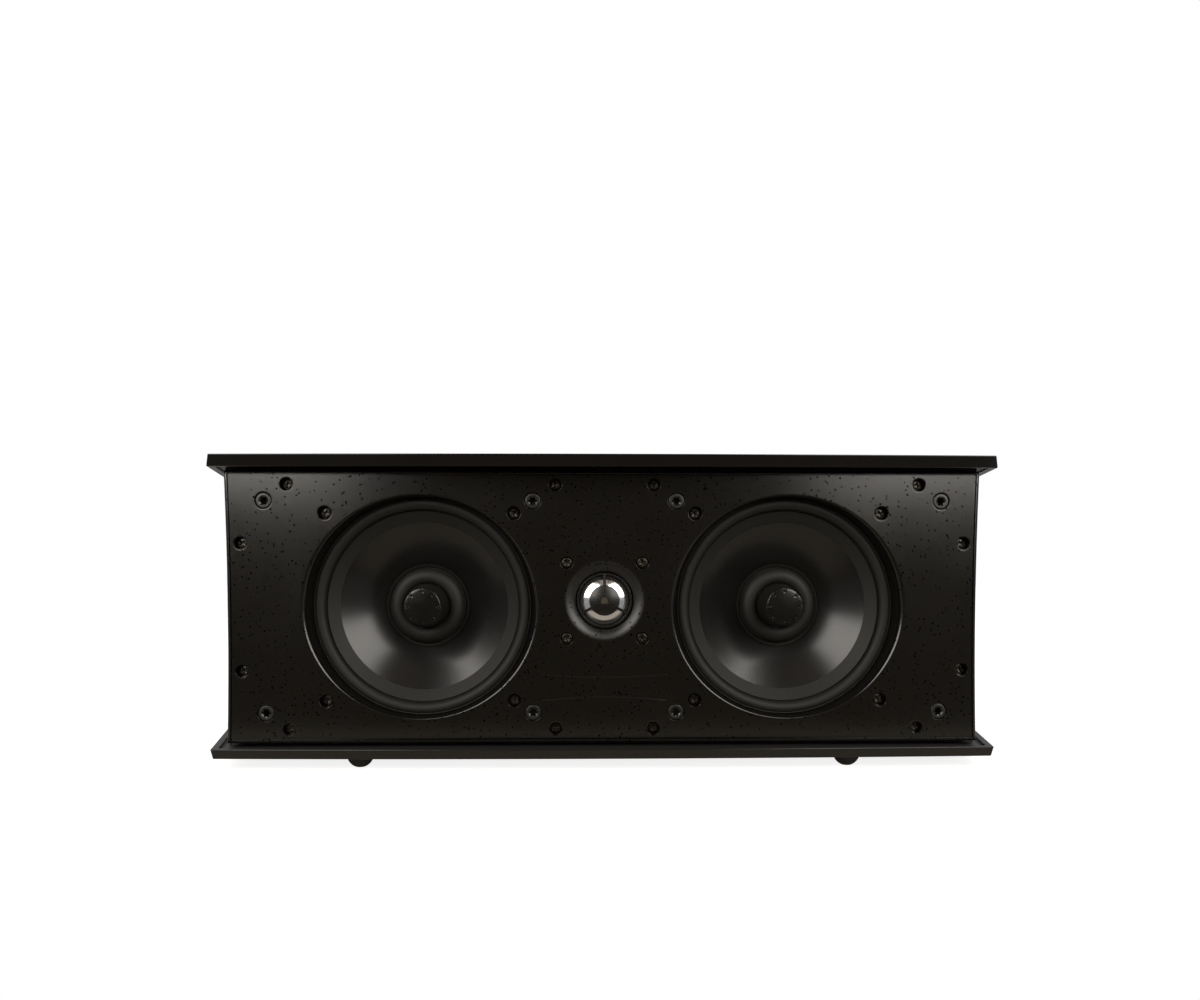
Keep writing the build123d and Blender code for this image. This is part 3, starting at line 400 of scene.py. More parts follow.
# Each finish is kept under the record's slot that it dresses
finishes = {
    "cap_moulding": polishedStyrene(),
    "cabinet_board": blackVinylWrap(),
    "baffle_moulding": satinMouldedAbs(),
    # closed-cell foam: dull black, open pores
    "foam": mottled("closedCellFoam", "#0c0b0b", "#1a1918", (0.85, 0.95), 0.6, 0.1),
    # moulded rubber: dull near-black with a soft bloom
    "foot_rubber": mottled("mouldedFootRubber", "#14130f", "#1d1b17", (0.55, 0.7), 1.2, 0.02),
    # black zinc on steel: dark metal with sharp glints in the drive recess
    "black_screw": mottled("blackZincSteel", "#302e2a", "#45423c", (0.22, 0.3), 0.5, 0.010, Metallic=1.0),
    # glass-filled nylon: near black, satin
    "socket_plastic": mottled("mouldedNylon", "#0d0c0b", "#131210", (0.3, 0.38), 0.7, 0.006),
    # powder-coated die casting: black, fine orange peel
    "cast_alloy": mottled("coatedDieCasting", "#131312", "#1c1b1a", (0.5, 0.6), 0.8, 0.03),
    # butyl rubber: matt dark grey with a faint bloom
    "surround_rubber": mottled("butylRubber", "#131310", "#181714", (0.5, 0.6), 0.8, 0.01,
                               Specular_IOR_Level=0.25),
    # mineral-filled polypropylene: near black with a broad satin sheen
    "cone_polymer": mottled("filledPolypropylene", "#0a0908", "#0f0e0c", (0.22, 0.25), 0.5, 0.010,
                            Specular_IOR_Level=0.42),
    # enamelled copper, wound round the axis: fine bright turns
    "coil_winding": mottled("enamelledCopperWinding", "#7a3c1c", "#b0622f", (0.25, 0.4), 0.35, 0.05,
                            (0.05, 1, 0.05), Metallic=1.0),
    # phenolic-dipped cotton: stiff brown weave
    "spider_cloth": wovenCloth("dippedSpiderCloth", "#6b4a1d", "#a8803f", 1.2),
    # zinc-plated steel: cool grey, slightly spangled
    "motor_steel": mottled("zincPlatedSteel", "#8b8d8e", "#a9abac", (0.28, 0.42), 2.5, 0.01, Metallic=1.0),
    # sintered ferrite: charcoal, dull, ground faces
    "ferrite": mottled("sinteredFerrite", "#1f1f21", "#2b2b2d", (0.6, 0.75), 0.9, 0.02),
    # filled polymer: matt dark grey
    "plug_polymer": mottled("filledPlugPolymer", "#12110f", "#171613", (0.4, 0.5), 0.6, 0.006,
                            Specular_IOR_Level=0.3),
    # moulded cap with a gloss face
    "plug_cap_gloss": mottled("glossPlugCap", "#0a0a09", "#0e0d0b", (0.16, 0.2), 4, 0.003),
    # satin ABS of the tweeter's front
    "tweeter_polymer": mottled("satinTweeterAbs", "#0d0c0a", "#12110f", (0.26, 0.32), 0.6, 0.004),
    # drawn aluminium: bright mirror with a trace of drawing marks
    "dome_metal": mottled("drawnAluminium", "#d2d3d4", "#e2e2e1", (0.10, 0.17), 1.6, 0.002, Metallic=1.0),
    # textured ABS: even black, half matt
    "terminal_polymer": mottled("mouldedTerminalAbs", "#121110", "#1a1918", (0.42, 0.52), 0.7, 0.02),
    # gold-plated brass: warm bright metal
    "post_metal": mottled("goldPlatedBrass", "#c79a3e", "#ddb65c", (0.18, 0.28), 1.0, 0.003, Metallic=1.0),
    # dyed nylon: deep red and plain black, satin
    "knob_red": mottled("redKnobNylon", "#8c1410", "#a31c17", (0.32, 0.42), 1.0, 0.01),
    "knob_black": mottled("blackKnobNylon", "#101010", "#191817", (0.32, 0.42), 1.0, 0.01),
    # glass-epoxy board: green, with the weave just visible
    "circuit_board": wovenCloth("glassEpoxyBoard", "#1d4a2b", "#25583a", 0.9),
    # enamelled copper wire, wound upright: dark orange turns
    "copper_wire": mottled("enamelledCopperWire", "#8a4319", "#bd6b33", (0.25, 0.4), 0.8, 0.12,
                           (0.05, 0.05, 1), Metallic=1.0),
    # shrunk film sleeve: dark blue, smooth
    "capacitor_sleeve": mottled("capacitorSleeve", "#15182b", "#1e2238", (0.3, 0.4), 3, 0.01),
    # cement-filled ceramic: chalky off-white
    "resistor_ceramic": mottled("resistorCement", "#cfcabd", "#dedacf", (0.7, 0.8), 0.7, 0.04),
    # bonded polyester fibre: off-white fluff
    "damping_fibre": mottled("polyesterWadding", "#b9b6ae", "#e3e0d8", (0.9, 1.0), 1.6, 1.2),
}
for part in frame["record"]["subparts"]:  # every CAD node takes the finish of its own slot first
    nodes[part["node"]].data.materials.clear()
    nodes[part["node"]].data.materials.append(finishes[part["material_slot"]])
print("finishes made:", len(finishes))


# Caps

capSizes = {"frontHalf": 219.5, "bow": 4.5, "bowSteps": 48, "bevel": 1.3, "rim": 4.0, "recess": 2.0,
            "overhang": 0.6, "edge": 0.45, "edgeSegments": 3, "edgeAngle": 20}


def addCap(node, name, rimAtTop, overhang=0.0):
    # plan: a bowed front edge, y = front + R - sqrt(R^2 - x^2), and straight sides to the rear corners
    sizes = capSizes
    low, high = boxOf(node)
    bowRadius = (sizes["frontHalf"] ** 2 + sizes["bow"] ** 2) / (2 * sizes["bow"])
    x = np.linspace(-sizes["frontHalf"], sizes["frontHalf"], sizes["bowSteps"] + 1)
    front = np.stack([x, low[1] + bowRadius - np.sqrt(bowRadius ** 2 - x ** 2)], axis=1)
    plan = np.concatenate([front, [[high[0], high[1]], [low[0], high[1]]]])
    rimHeight, farHeight, way = (high[2], low[2], -1) if rimAtTop else (low[2], high[2], 1)
    rows = [(sizes["rim"], rimHeight + way * sizes["recess"]), (sizes["rim"], rimHeight), (0, rimHeight),
            (sizes["bevel"], farHeight)]
    points = np.stack([np.column_stack([insetLoop(plan, inset), np.full(len(plan), height)])
                       for inset, height in rows])
    if overhang:  # the front leans out from the rim to the far edge
        points[2, :len(front), 1] += overhang
        points[3, :len(front), 1] = front[:, 1]
    piece = addPiece(name, [(points, cappedFaces(len(rows), len(plan)))], "cap_moulding", standsFor=[node])
    bevel = piece.modifiers.new("edges", "BEVEL")
    bevel.width = sizes["edge"] * mm
    bevel.segments = sizes["edgeSegments"]
    bevel.limit_method = "ANGLE"
    bevel.angle_limit = np.radians(sizes["edgeAngle"])
    bevel.harden_normals = True


addCap("top_cap", "topCapMoulding", rimAtTop=False, overhang=capSizes["overhang"])
addCap("bottom_cap", "bottomCapMoulding", rimAtTop=True)


# Feet: domed rubber, a sphere cut by a small flat: radius = R * sin t, height = top - R * cos t

footSizes = {"flat": 2.5, "steps": 14, "segments": 64}


def addFeet():
    sizes = footSizes
    low, high = boxOf("rubber_feet")
    radius = np.hypot(high[2] - low[2], sizes["flat"])
    tilt = np.linspace(np.pi / 2, np.arcsin(sizes["flat"] / radius), sizes["steps"])
    profile = np.stack([radius * np.sin(tilt), high[2] - radius * np.cos(tilt)], axis=1)
    profile = np.concatenate([[[0, high[2]]], profile, [[0, low[2]]]])
    across = profile[:, :1]
    angle = roundAngles(sizes["segments"])
    height = np.broadcast_to(profile[:, 1:], (len(profile), len(angle)))
    faces = gridFaces(len(profile), len(angle))
    grids = []
    for x in (low[0] + radius, high[0] - radius):
        for y in (low[1] + radius, high[1] - radius):
            points = np.stack([x + across * np.cos(angle), y + across * np.sin(angle), height], axis=-1)
            grids.append((points, faces))
    addPiece("footDomes", grids, "foot_rubber", standsFor=["rubber_feet"])


addFeet()
print("caps and feet made")


# Baffle: a flat face between loops, with rounded edges, flared recesses and round wells

baffleSizes = {"waist": 1.2, "grooveFrom": 2.6, "grooveTo": 1.7, "grooveDepth": 2.0, "softEdge": 0.1,
               "strip": 1.55, "stripDepth": 0.3, "stripRound": 1.2, "backEdge": 0.3, "guard": 0.5,
               "sideSteps": 24, "edgeSteps": 8}
recessSizes = {"half": (67.8, 64.35), "throat": (64.7, 63.2), "flareDepth": 3.5, "flareSteps": 11,
               "hole": 62.5, "segments": 256}
hornSizes = {"half": (23.4, 22.7), "throat": 16.75, "depth": 2.8, "slopeEnd": 0.9, "slopeSteps": 15,
             "edge": 0.5, "edgeSteps": 9, "segments": 160}
wellSizes = {"lip": 0.14, "lipSteps": 5, "segments": 40}
wells = {  # radius and depth of the wells of each fastener
    "baffle_screws": (3.75, 6.2),
    "woofer_screws": (4.0, 6.2),
    "tweeter_screws": (3.7, 3.0),
    "grille_sockets": (4.85, 8.9),
}


def flare(rim, throat, depth, steps):
    # quarter ellipse from the face into the throat, by throat + (rim - throat) * (1 - sin t)
    # and depth * (1 - cos t)
    t = quarterTurn(steps)[:, None]
    reach = np.array(throat) + (np.array(rim) - np.array(throat)) * (1 - np.sin(t))
    return np.concatenate([reach, depth * (1 - np.cos(t))], axis=1)


def recessRows(guard):  # woofer's recess: a flared oval rim that runs back to a round hole
    sizes = recessSizes
    wide, high = sizes["half"]
    hole = sizes["hole"]
    return [(wide + guard, high + guard, 0),
            *flare(sizes["half"], sizes["throat"], sizes["flareDepth"], sizes["flareSteps"]),
            (hole, hole, baffleThickness), (hole + guard, hole + guard, baffleThickness)]


def dishRows(guard):
    # dish round the tweeter: sunk by depth * share^2 on the way in; its height is drawn in to make it oval
    sizes = hornSizes
    wide, high = sizes["half"]
    throat = sizes["throat"]
    share = np.linspace(0, sizes["slopeEnd"], sizes["slopeSteps"])
    slope = np.stack([wide + (throat - wide) * share, sizes["depth"] * share ** 2, 0 * share], axis=1)
    corners = [(wide + guard, 0, 0), *slope, (throat, sizes["depth"], sizes["edge"]),
               (throat, baffleThickness, 0), (throat + guard, baffleThickness, 0)]
    radius, depth = rounded(corners, sizes["edgeSteps"], closed=False).T
    oval = 1 + (high / wide - 1) * np.clip((radius - throat) / (wide - throat), 0, 1)
    oval[-1] = 1
    return np.stack([radius, radius * oval, depth], axis=1)


def wellRows(radius, depth, guard):  # fastener's well: a small rounded lip, a straight wall and a flat floor
    lip = wellSizes["lip"]
    rim = radius + lip
    return [(rim + guard, rim + guard, 0), *flare((rim, rim), (radius, radius), lip, wellSizes["lipSteps"]),
            (radius, radius, depth), (0, 0, depth)]


def flatBetween(outer, holes, y):
    # flat face inside the outer loop and outside the hole loops, as constrained triangles
    loops = [outer] + [hole["loop"] for hole in holes]
    edges, offset = [], 0
    for loop in loops:
        index = np.arange(len(loop))
        edges += (np.stack([index, (index + 1) % len(loop)], axis=1) + offset).tolist()
        offset += len(loop)
    corners = [tuple(point) for point in np.concatenate(loops)]
    found, _, triangles, *_ = delaunay_2d_cdt(corners, edges, [], 1, 1e-6)
    points = np.array([tuple(point) for point in found])
    triangles = np.array(triangles)
    middles = points[triangles].mean(axis=1)
    keep = np.ones(len(triangles), bool)
    for hole in holes:
        keep &= (((middles - hole["place"]) / hole["half"]) ** 2).sum(axis=1) > 1
    return upright(points, y), triangles[keep]


def addBaffle():
    sizes = baffleSizes
    guard = sizes["guard"]  # a narrow flat beside each edge keeps the shading of the face even
    thickness = baffleThickness
    half = (baffleHigh - baffleLow)[[0, 2]] / 2
    # outline: straight top and bottom; ends drawn in at the waist, x = half - waist * (1 - (z / half)^2)
    z = np.linspace(-half[1], half[1], sizes["sideSteps"] + 1)
    end = np.stack([half[0] - sizes["waist"] * (1 - (z / half[1]) ** 2), z], axis=1)
    outline = np.concatenate([end, -end]) + [0, axisHeight]
    # edge, from the face outwards and back, as (inset, depth): a groove, a rounded strip and the rear edge
    soft = sizes["softEdge"]
    wall = sizes["grooveFrom"] - soft
    t = quarterTurn(sizes["edgeSteps"])
    strip = [sizes["strip"] * (1 - np.sin(t)), sizes["stripDepth"] + sizes["stripRound"] * (1 - np.cos(t))]
    rows = [(sizes["grooveFrom"] + guard, 0), (sizes["grooveFrom"], 0), (wall, soft),
            (wall, sizes["grooveDepth"]), (sizes["grooveTo"], sizes["grooveDepth"]),
            (sizes["grooveTo"], sizes["stripDepth"] + soft), *np.stack(strip, axis=1).tolist(),
            (0, thickness - sizes["backEdge"]), (sizes["backEdge"], thickness),
            (sizes["backEdge"] + guard, thickness)]
    loops = [insetLoop(outline, inset) for inset, _ in rows]
    points = np.stack([upright(loop, faceY + depth) for loop, (_, depth) in zip(loops, rows)])
    grids = [(points, gridFaces(len(rows), len(outline)))]
    # holes as (rows, place, segments, whether it goes through)
    holes = [(recessRows(guard), place, recessSizes["segments"], True) for place in wooferPlaces.values()]
    holes.append((dishRows(guard), tweeterPlace, hornSizes["segments"], True))
    for node, (radius, depth) in wells.items():
        holes += [(wellRows(radius, depth, guard), place, wellSizes["segments"], False)
                  for place in solidPlaces(node)]
    frontHoles, backHoles = [], []
    for rows, place, segments, through in holes:
        rows = np.asarray(rows, float)
        points, faces = ovals(rows, place, segments)
        grids.append((points, faces))
        frontHoles.append({"loop": points[0][:, [0, 2]], "place": place, "half": rows[0, :2]})
        if through:
            backHoles.append({"loop": points[-1][:, [0, 2]], "place": place, "half": rows[-1, :2]})
    grids.append(flatBetween(loops[0], frontHoles, faceY))
    grids.append(flatBetween(loops[-1], backHoles, faceY + thickness))
    addPiece("baffleMoulding", grids, "baffle_moulding", standsFor=["front_baffle"])


addBaffle()


# Bare name place: two thin ridges bowed towards each other, z = rise + bow * (1 - (x / reach)^2)

ridgeSizes = {"reach": 36.5, "width": 0.8, "lift": 0.16, "steps": 60, "sides": 12,
              "arcs": ((-38.5, -1.8), (-53.9, 2.3))}


def addNameRidges():
    sizes = ridgeSizes
    x = np.linspace(-sizes["reach"], sizes["reach"], sizes["steps"])[:, None]
    angle = roundAngles(sizes["sides"])
    taper = np.sqrt(np.clip(1 - (x / sizes["reach"]) ** 8, 0, 1))
    proud = faceY - taper * sizes["lift"] * np.sin(angle)
    faces = gridFaces(sizes["steps"], sizes["sides"])
    grids = []
    for rise, bow in sizes["arcs"]:
        z = axisHeight + rise + bow * (1 - (x / sizes["reach"]) ** 2)
        across = z + taper * sizes["width"] / 2 * np.cos(angle)
        grids.append((np.stack([np.broadcast_to(x, across.shape), proud, across], axis=-1), faces))
    addPiece("namePlaceRidges", grids, "baffle_moulding")


addNameRidges()
print("baffle made")


# Screws: pan heads with a cross recess, and a plain shank

screwSizes = {"crown": 0.28, "edge": 0.5, "shank": 1.7, "crossWidth": 1.1, "crossReach": 1.9,
              "crossDepth": 1.2, "crossBowl": 0.35, "crossWall": 0.16, "flatSteps": 22, "edgeSteps": 6,
              "segments": 96}
screwKinds = {  # radius and height of the heads; those of the cup face the rear
    "baffle_screws": {"piece": "baffleScrewHeads", "head": 3.0, "height": 2.4, "facing": 1},
    "woofer_screws": {"piece": "wooferScrewHeads", "head": 3.0, "height": 2.4, "facing": 1},
    "tweeter_screws": {"piece": "tweeterScrewHeads", "head": 3.0, "height": 2.4, "facing": 1},
    "cup_screws": {"piece": "cupScrewHeads", "head": 3.4, "height": 1.8, "facing": -1},
}


def addScrews(node, piece, head, height, facing):
    # head: depth = crown * (r / R)^2, then a quarter round edge; the cross is sunk where a point lies
    # within half its width of either arm and within its reach
    sizes = screwSizes
    low, high = boxOf(node)
    top, tip = (low[1], high[1]) if facing > 0 else (high[1], low[1])
    length = abs(tip - top)
    places = solidPlaces(node)
    edge, shank, crown = sizes["edge"], sizes["shank"], sizes["crown"]
    flat = np.linspace(0, head - edge, sizes["flatSteps"])
    t = quarterTurn(sizes["edgeSteps"])[1:]
    radius = np.concatenate([flat, head - edge + edge * np.sin(t), [head, shank, shank, 0]])[:, None]
    sunk = np.concatenate([crown * (flat / head) ** 2,
                           crown * ((head - edge) / head) ** 2 + edge * (1 - np.cos(t)),
                           [height, height, length, length]])[:, None]
    angle = roundAngles(sizes["segments"])
    u = np.abs(radius * np.cos(angle))
    v = np.abs(radius * np.sin(angle))
    outside = np.maximum(np.minimum(u, v) - sizes["crossWidth"] / 2, np.maximum(u, v) - sizes["crossReach"])
    share = np.clip(0.5 - outside / (2 * sizes["crossWall"]), 0, 1)
    share = share * share * (3 - 2 * share)
    share[len(flat):] = 0
    bowl = 1 - sizes["crossBowl"] * (radius / sizes["crossReach"]) ** 2
    depth = top - faceY + facing * (sunk + sizes["crossDepth"] * share * bowl)
    turns = seeded.uniform(0, np.pi / 2, len(places))
    faces = gridFaces(len(radius), len(angle))
    grids = [(around(radius, depth, angle + turn, place), faces) for place, turn in zip(places, turns)]
    addPiece(piece, grids, "black_screw", standsFor=[node], sharp=50)


for node, kind in screwKinds.items():
    addScrews(node, **kind)


# Grille sockets: a round cup with a coned lead-in to a six-pointed hole, radius = mean + swing * cos 6a

socketSizes = {"radius": 4.45, "sunk": 0.4, "edge": 0.5, "leadIn": 2.8, "leadEdge": 0.15, "leadDepth": 0.9,
               "holeDepth": 7.0, "holeMean": 2.1, "holeSwing": 0.32, "points": 6, "segments": 96}


def addSockets():
    sizes = socketSizes
    end = boxOf("grille_sockets")[1][1] - faceY
    angle = roundAngles(sizes["segments"])
    hole = sizes["holeMean"] + sizes["holeSwing"] * np.cos(sizes["points"] * angle)
    body = rounded([(sizes["radius"], end, 0), (sizes["radius"], sizes["sunk"], sizes["edge"]),
                    (sizes["leadIn"], sizes["sunk"], sizes["leadEdge"]),
                    (sizes["holeMean"], sizes["leadDepth"], 0)], closed=False)
    body = np.concatenate([[[0, end]], body[:-1]])
    radius = np.concatenate([np.broadcast_to(body[:, :1], (len(body), len(angle))), [hole, hole, 0 * hole]])
    depth = np.concatenate([body[:, 1], [sizes["leadDepth"], sizes["holeDepth"], sizes["holeDepth"]]])
    faces = gridFaces(len(depth), len(angle))
    grids = [(around(radius, depth[:, None], angle, place), faces) for place in solidPlaces("grille_sockets")]
    addPiece("grilleSocketCups", grids, "socket_plastic", standsFor=["grille_sockets"])


addSockets()
print("fasteners made")


# Woofers

def addRoll(name, line, sizes, place, body, node, sharp=38):
    # rubber ring: a line given thickness and turned, and left in place without a body
    section = shell(line, sizes["thickness"])
    addPiece(name, [turned(section, place, sizes["segments"])], "surround_rubber", body, [node], sharp,
             blend=[depthPoint(place, depth) for depth in sizes["stretch"]])


coneSizes = {"edgeRadius": 49.1, "edgeDepth": 18.0, "slope": 0.6, "rim": 55.3, "neck": 19.35,
             "thickness": 0.9, "steps": 40, "segments": 256}


def coneDepth(radius):  # straight slope inwards from the cone's edge
    return coneSizes["edgeDepth"] + (coneSizes["edgeRadius"] - radius) * coneSizes["slope"]


def addCone(side, place):
    sizes = coneSizes
    radius = np.linspace(sizes["rim"], sizes["neck"], sizes["steps"])
    line = np.stack([radius, coneDepth(radius)], axis=1)
    section = np.concatenate([line, (line + [0, sizes["thickness"]])[::-1]])
    addPiece(f"{side}ConeBody", [turned(section, place, sizes["segments"])], "cone_polymer",
             f"woofer_{side}", [f"cone_{side}"])


surroundSizes = {"flange": (65.4, 62.6), "flangeDepth": 10.1, "rollOuter": (62.2, 10.3),
                 "rollInner": (56.05, 13.3), "rollHeight": 2.7, "rollSteps": 17, "crease": (55.85, 13.7),
                 "lipOuter": 55.45, "lipGap": 0.95, "lipSteps": 8, "edge": 48.95, "thickness": 0.7,
                 "segments": 256, "stretch": (10.5, 12.9)}


def addSurround(side, place):
    # outer surround: a flange behind the baffle, a half roll, a crease and a lip that lies on the cone
    sizes = surroundSizes
    flange = [[radius, sizes["flangeDepth"]] for radius in sizes["flange"]]
    roll = arc(sizes["rollOuter"], sizes["rollInner"], -sizes["rollHeight"], sizes["rollSteps"])
    lip = np.linspace(sizes["lipOuter"], sizes["edge"], sizes["lipSteps"])
    onCone = np.stack([lip, coneDepth(lip) - sizes["lipGap"]], axis=1)
    line = np.concatenate([flange, roll, [sizes["crease"]], onCone])
    addRoll(f"{side}SurroundRoll", line, sizes, place, f"woofer_{side}", "woofer_surrounds", sharp=50)


innerRollSizes = {"lip": (24.3, 23.4), "lipGap": 0.9, "lipSteps": 4, "groove": (22.5, 0.35),
                  "rollOuter": (21.9, 33.3), "rollInner": (13.45, 28.1), "rollHeight": 4.2, "rollSteps": 19,
                  "thickness": 0.65, "segments": 160, "stretch": (28.4, 32.8)}


def addInnerRoll(side, place):
    # inner surround: a lip on the cone, a groove and a half roll down to the plug's collar
    sizes = innerRollSizes
    lip = np.linspace(*sizes["lip"], sizes["lipSteps"])
    onCone = np.stack([lip, coneDepth(lip) - sizes["lipGap"]], axis=1)
    grooveRadius, grooveSink = sizes["groove"]
    groove = [[grooveRadius, coneDepth(grooveRadius) - sizes["lipGap"] + grooveSink]]
    roll = arc(sizes["rollOuter"], sizes["rollInner"], -sizes["rollHeight"], sizes["rollSteps"])
    line = np.concatenate([onCone, groove, roll])
    addRoll(f"{side}InnerRoll", line, sizes, place, f"woofer_{side}", "inner_surrounds", sharp=50)


spiderSizes = {"inner": 19.55, "outer": 42.9, "pitch": 4.6, "wave": 0.45, "rimEase": 6, "thickness": 0.5,
               "steps": 61, "sectors": 8, "sectorSteps": 9, "stretch": (42.0, 21.0)}


def addSpider(side, place):
    # corrugated ring: depth = middle + wave * sin(2 pi * (radius - inner) / pitch), flat at both rims;
    # it is cut in sectors, each made as a piece of its own
    sizes = spiderSizes
    middle = middleOf("woofer_spiders")[1] - faceY
    share = np.linspace(1, 0, sizes["steps"])
    radius = sizes["inner"] + (sizes["outer"] - sizes["inner"]) * share
    wave = sizes["wave"] * np.clip(sizes["rimEase"] * np.minimum(share, 1 - share), 0, 1)
    ripple = wave * np.sin(2 * np.pi * (radius - sizes["inner"]) / sizes["pitch"])
    line = np.stack([radius, middle - sizes["thickness"] / 2 + ripple], axis=1)
    section = shell(line, sizes["thickness"])
    sweep = 2 * np.pi / sizes["sectors"]
    faces = cappedFaces(sizes["sectorSteps"], len(section))
    for i in range(sizes["sectors"]):
        angle = (i + np.linspace(-0.5, 0.5, sizes["sectorSteps"])[:, None]) * sweep
        out = np.array([np.cos(i * sweep), np.sin(i * sweep)])
        addPiece(f"{side}SpiderSector{i + 1}", [(around(*section.T, angle, place), faces)], "spider_cloth",
                 f"woofer_{side}", ["woofer_spiders"], sharp=50,
                 blend=[depthPoint(place + out * reach, middle) for reach in sizes["stretch"]])


for side, place in wooferPlaces.items():
    addCone(side, place)
    addSurround(side, place)
    addInnerRoll(side, place)
    addSpider(side, place)

plugSizes = {"nose": 10.75, "noseDepth": 9.4, "noseEdge": 0.5, "base": 13.1, "baseDepth": 27.0,
             "baseRound": 2.0, "collarEnd": 29.0, "collarEdge": 0.3, "stem": 10.0, "stemEnd": 46.0,
             "segments": 128}


def addPlugs():  # a tapered nose on a short collar, with a stem to the motor
    sizes = plugSizes
    section = rounded([
        (0, sizes["noseDepth"], 0),
        (sizes["nose"], sizes["noseDepth"], sizes["noseEdge"]),
        (sizes["base"], sizes["baseDepth"], sizes["baseRound"]),
        (sizes["base"], sizes["collarEnd"], sizes["collarEdge"]),
        (sizes["stem"], sizes["collarEnd"], sizes["collarEdge"]),
        (sizes["stem"], sizes["stemEnd"], 0),
        (0, sizes["stemEnd"], 0),
    ], closed=False)
    grids = [turned(section, place, sizes["segments"], wrap=False) for place in wooferPlaces.values()]
    addPiece("plugBodies", grids, "plug_polymer", standsFor=["phase_plugs"])


plugCapSizes = {"radius": 10.6, "depth": 7.7, "crown": 0.45, "edge": 0.5, "back": 9.5, "faceSteps": 12,
                "edgeSteps": 6, "segments": 384, "notches": 8, "notchWidth": 2.3, "notchReach": 2.2,
                "notchWall": 0.14, "stud": 0.55, "studEdge": 0.25, "studDepth": 8.3, "studPlace": 9.5,
                "studSegments": 20}


def addPlugCaps():
    # a disc, depth = front + crown * (r / R)^2, whose rim is cut back by U notches with a small stud in each
    sizes = plugCapSizes
    edge = sizes["edge"]
    angle = roundAngles(sizes["segments"])
    spacing = 2 * np.pi / sizes["notches"]
    offset = (angle + spacing / 2) % spacing - spacing / 2
    aside = np.abs(sizes["radius"] * np.sin(offset))
    width = sizes["notchWidth"] / 2
    roundEnd = np.sqrt(np.clip(width ** 2 - aside ** 2, 0, None))
    notch = np.where(aside < width, sizes["notchReach"] - width + roundEnd, 0)
    notch *= np.clip((width + sizes["notchWall"] - aside) / sizes["notchWall"], 0, 1)
    rim = sizes["radius"] - notch
    face = np.linspace(0, 1, sizes["faceSteps"])[:, None] * (rim - edge)
    t = quarterTurn(sizes["edgeSteps"])[1:, None]
    radius = np.concatenate([face, rim - edge + edge * np.sin(t), rim[None], 0 * rim[None]])
    depth = sizes["depth"] + sizes["crown"] * (radius / sizes["radius"]) ** 2
    wall = len(face) + len(t)
    depth[len(face):wall] += edge * (1 - np.cos(t))
    depth[wall:] = sizes["back"]
    stud = rounded([(0, sizes["studDepth"], 0), (sizes["stud"], sizes["studDepth"], sizes["studEdge"]),
                    (sizes["stud"], sizes["back"], 0), (0, sizes["back"], 0)], closed=False)
    grids = []
    for place in wooferPlaces.values():
        grids.append((around(radius, depth, angle, place), gridFaces(len(radius), len(angle))))
        for i in range(sizes["notches"]):
            out = np.array([np.cos(i * spacing), np.sin(i * spacing)])
            grids.append(turned(stud, place + out * sizes["studPlace"], sizes["studSegments"], wrap=False))
    addPiece("plugCapDiscs", grids, "plug_cap_gloss", standsFor=["plug_caps"])


addPlugs()
addPlugCaps()
print("woofers made")


# Tweeter

domeSizes = {"radius": 12.75, "height": 3.5, "baseDepth": 6.5, "wall": 0.3, "steps": 24, "segments": 160}
domeRollSizes = {"inner": (12.8, 6.45), "outer": (14.5, 6.95), "height": 0.6, "thickness": 0.12,
                 "steps": 13, "stretch": (6.95, 6.5), "segments": 128}


def domeDepth(radius, out=0.0):
    # the dome's sphere, or one about the same middle that stands out: middle - sqrt((R + out)^2 - r^2)
    sizes = domeSizes
    sphere = (sizes["radius"] ** 2 + sizes["height"] ** 2) / (2 * sizes["height"])
    middle = sizes["baseDepth"] - sizes["height"] + sphere
    return middle - np.sqrt((sphere + out) ** 2 - radius ** 2)


def addDome():
    sizes = domeSizes
    radius = sizes["radius"] * np.linspace(0, 1, sizes["steps"])
    front = np.stack([radius, domeDepth(radius)], axis=1)
    section = np.concatenate([front, (front + [0, sizes["wall"]])[::-1]])
    addPiece("domeCap", [turned(section, tweeterPlace, sizes["segments"], wrap=False)], "dome_metal",
             "tweeter", ["tweeter_dome"])


def addDomeRoll():  # half roll from the dome's edge to its clamp
    sizes = domeRollSizes
    line = arc(sizes["inner"], sizes["outer"], sizes["height"], sizes["steps"])
    addRoll("domeRoll", line, sizes, tweeterPlace, "tweeter", "tweeter_surround")


diffuserSizes = {"ring": (14.6, 16.0), "ringDepth": (4.5, 7.0), "ringEdges": (0.15, 0.35), "gap": 1.0,
                 "wall": 1.2, "disc": 8.75, "hole": 2.4, "discSteps": 14, "lip": 0.35, "lipSteps": 7,
                 "segments": 160}
spokeSizes = {"count": 3, "half": 0.8, "sink": 0.3, "steps": 28, "ridgeEnd": 3.9, "ridgeLift": 0.3,
              "ridgeFoot": 0.3, "ridgeWidths": (0.25, 0.75), "fadeLeast": 0.02,
              "across": (-1, -1, -0.75, 0, 0.75, 1, 1, 0), "down": (1, 0.2, 0, 0, 0, 0.2, 1, 1)}


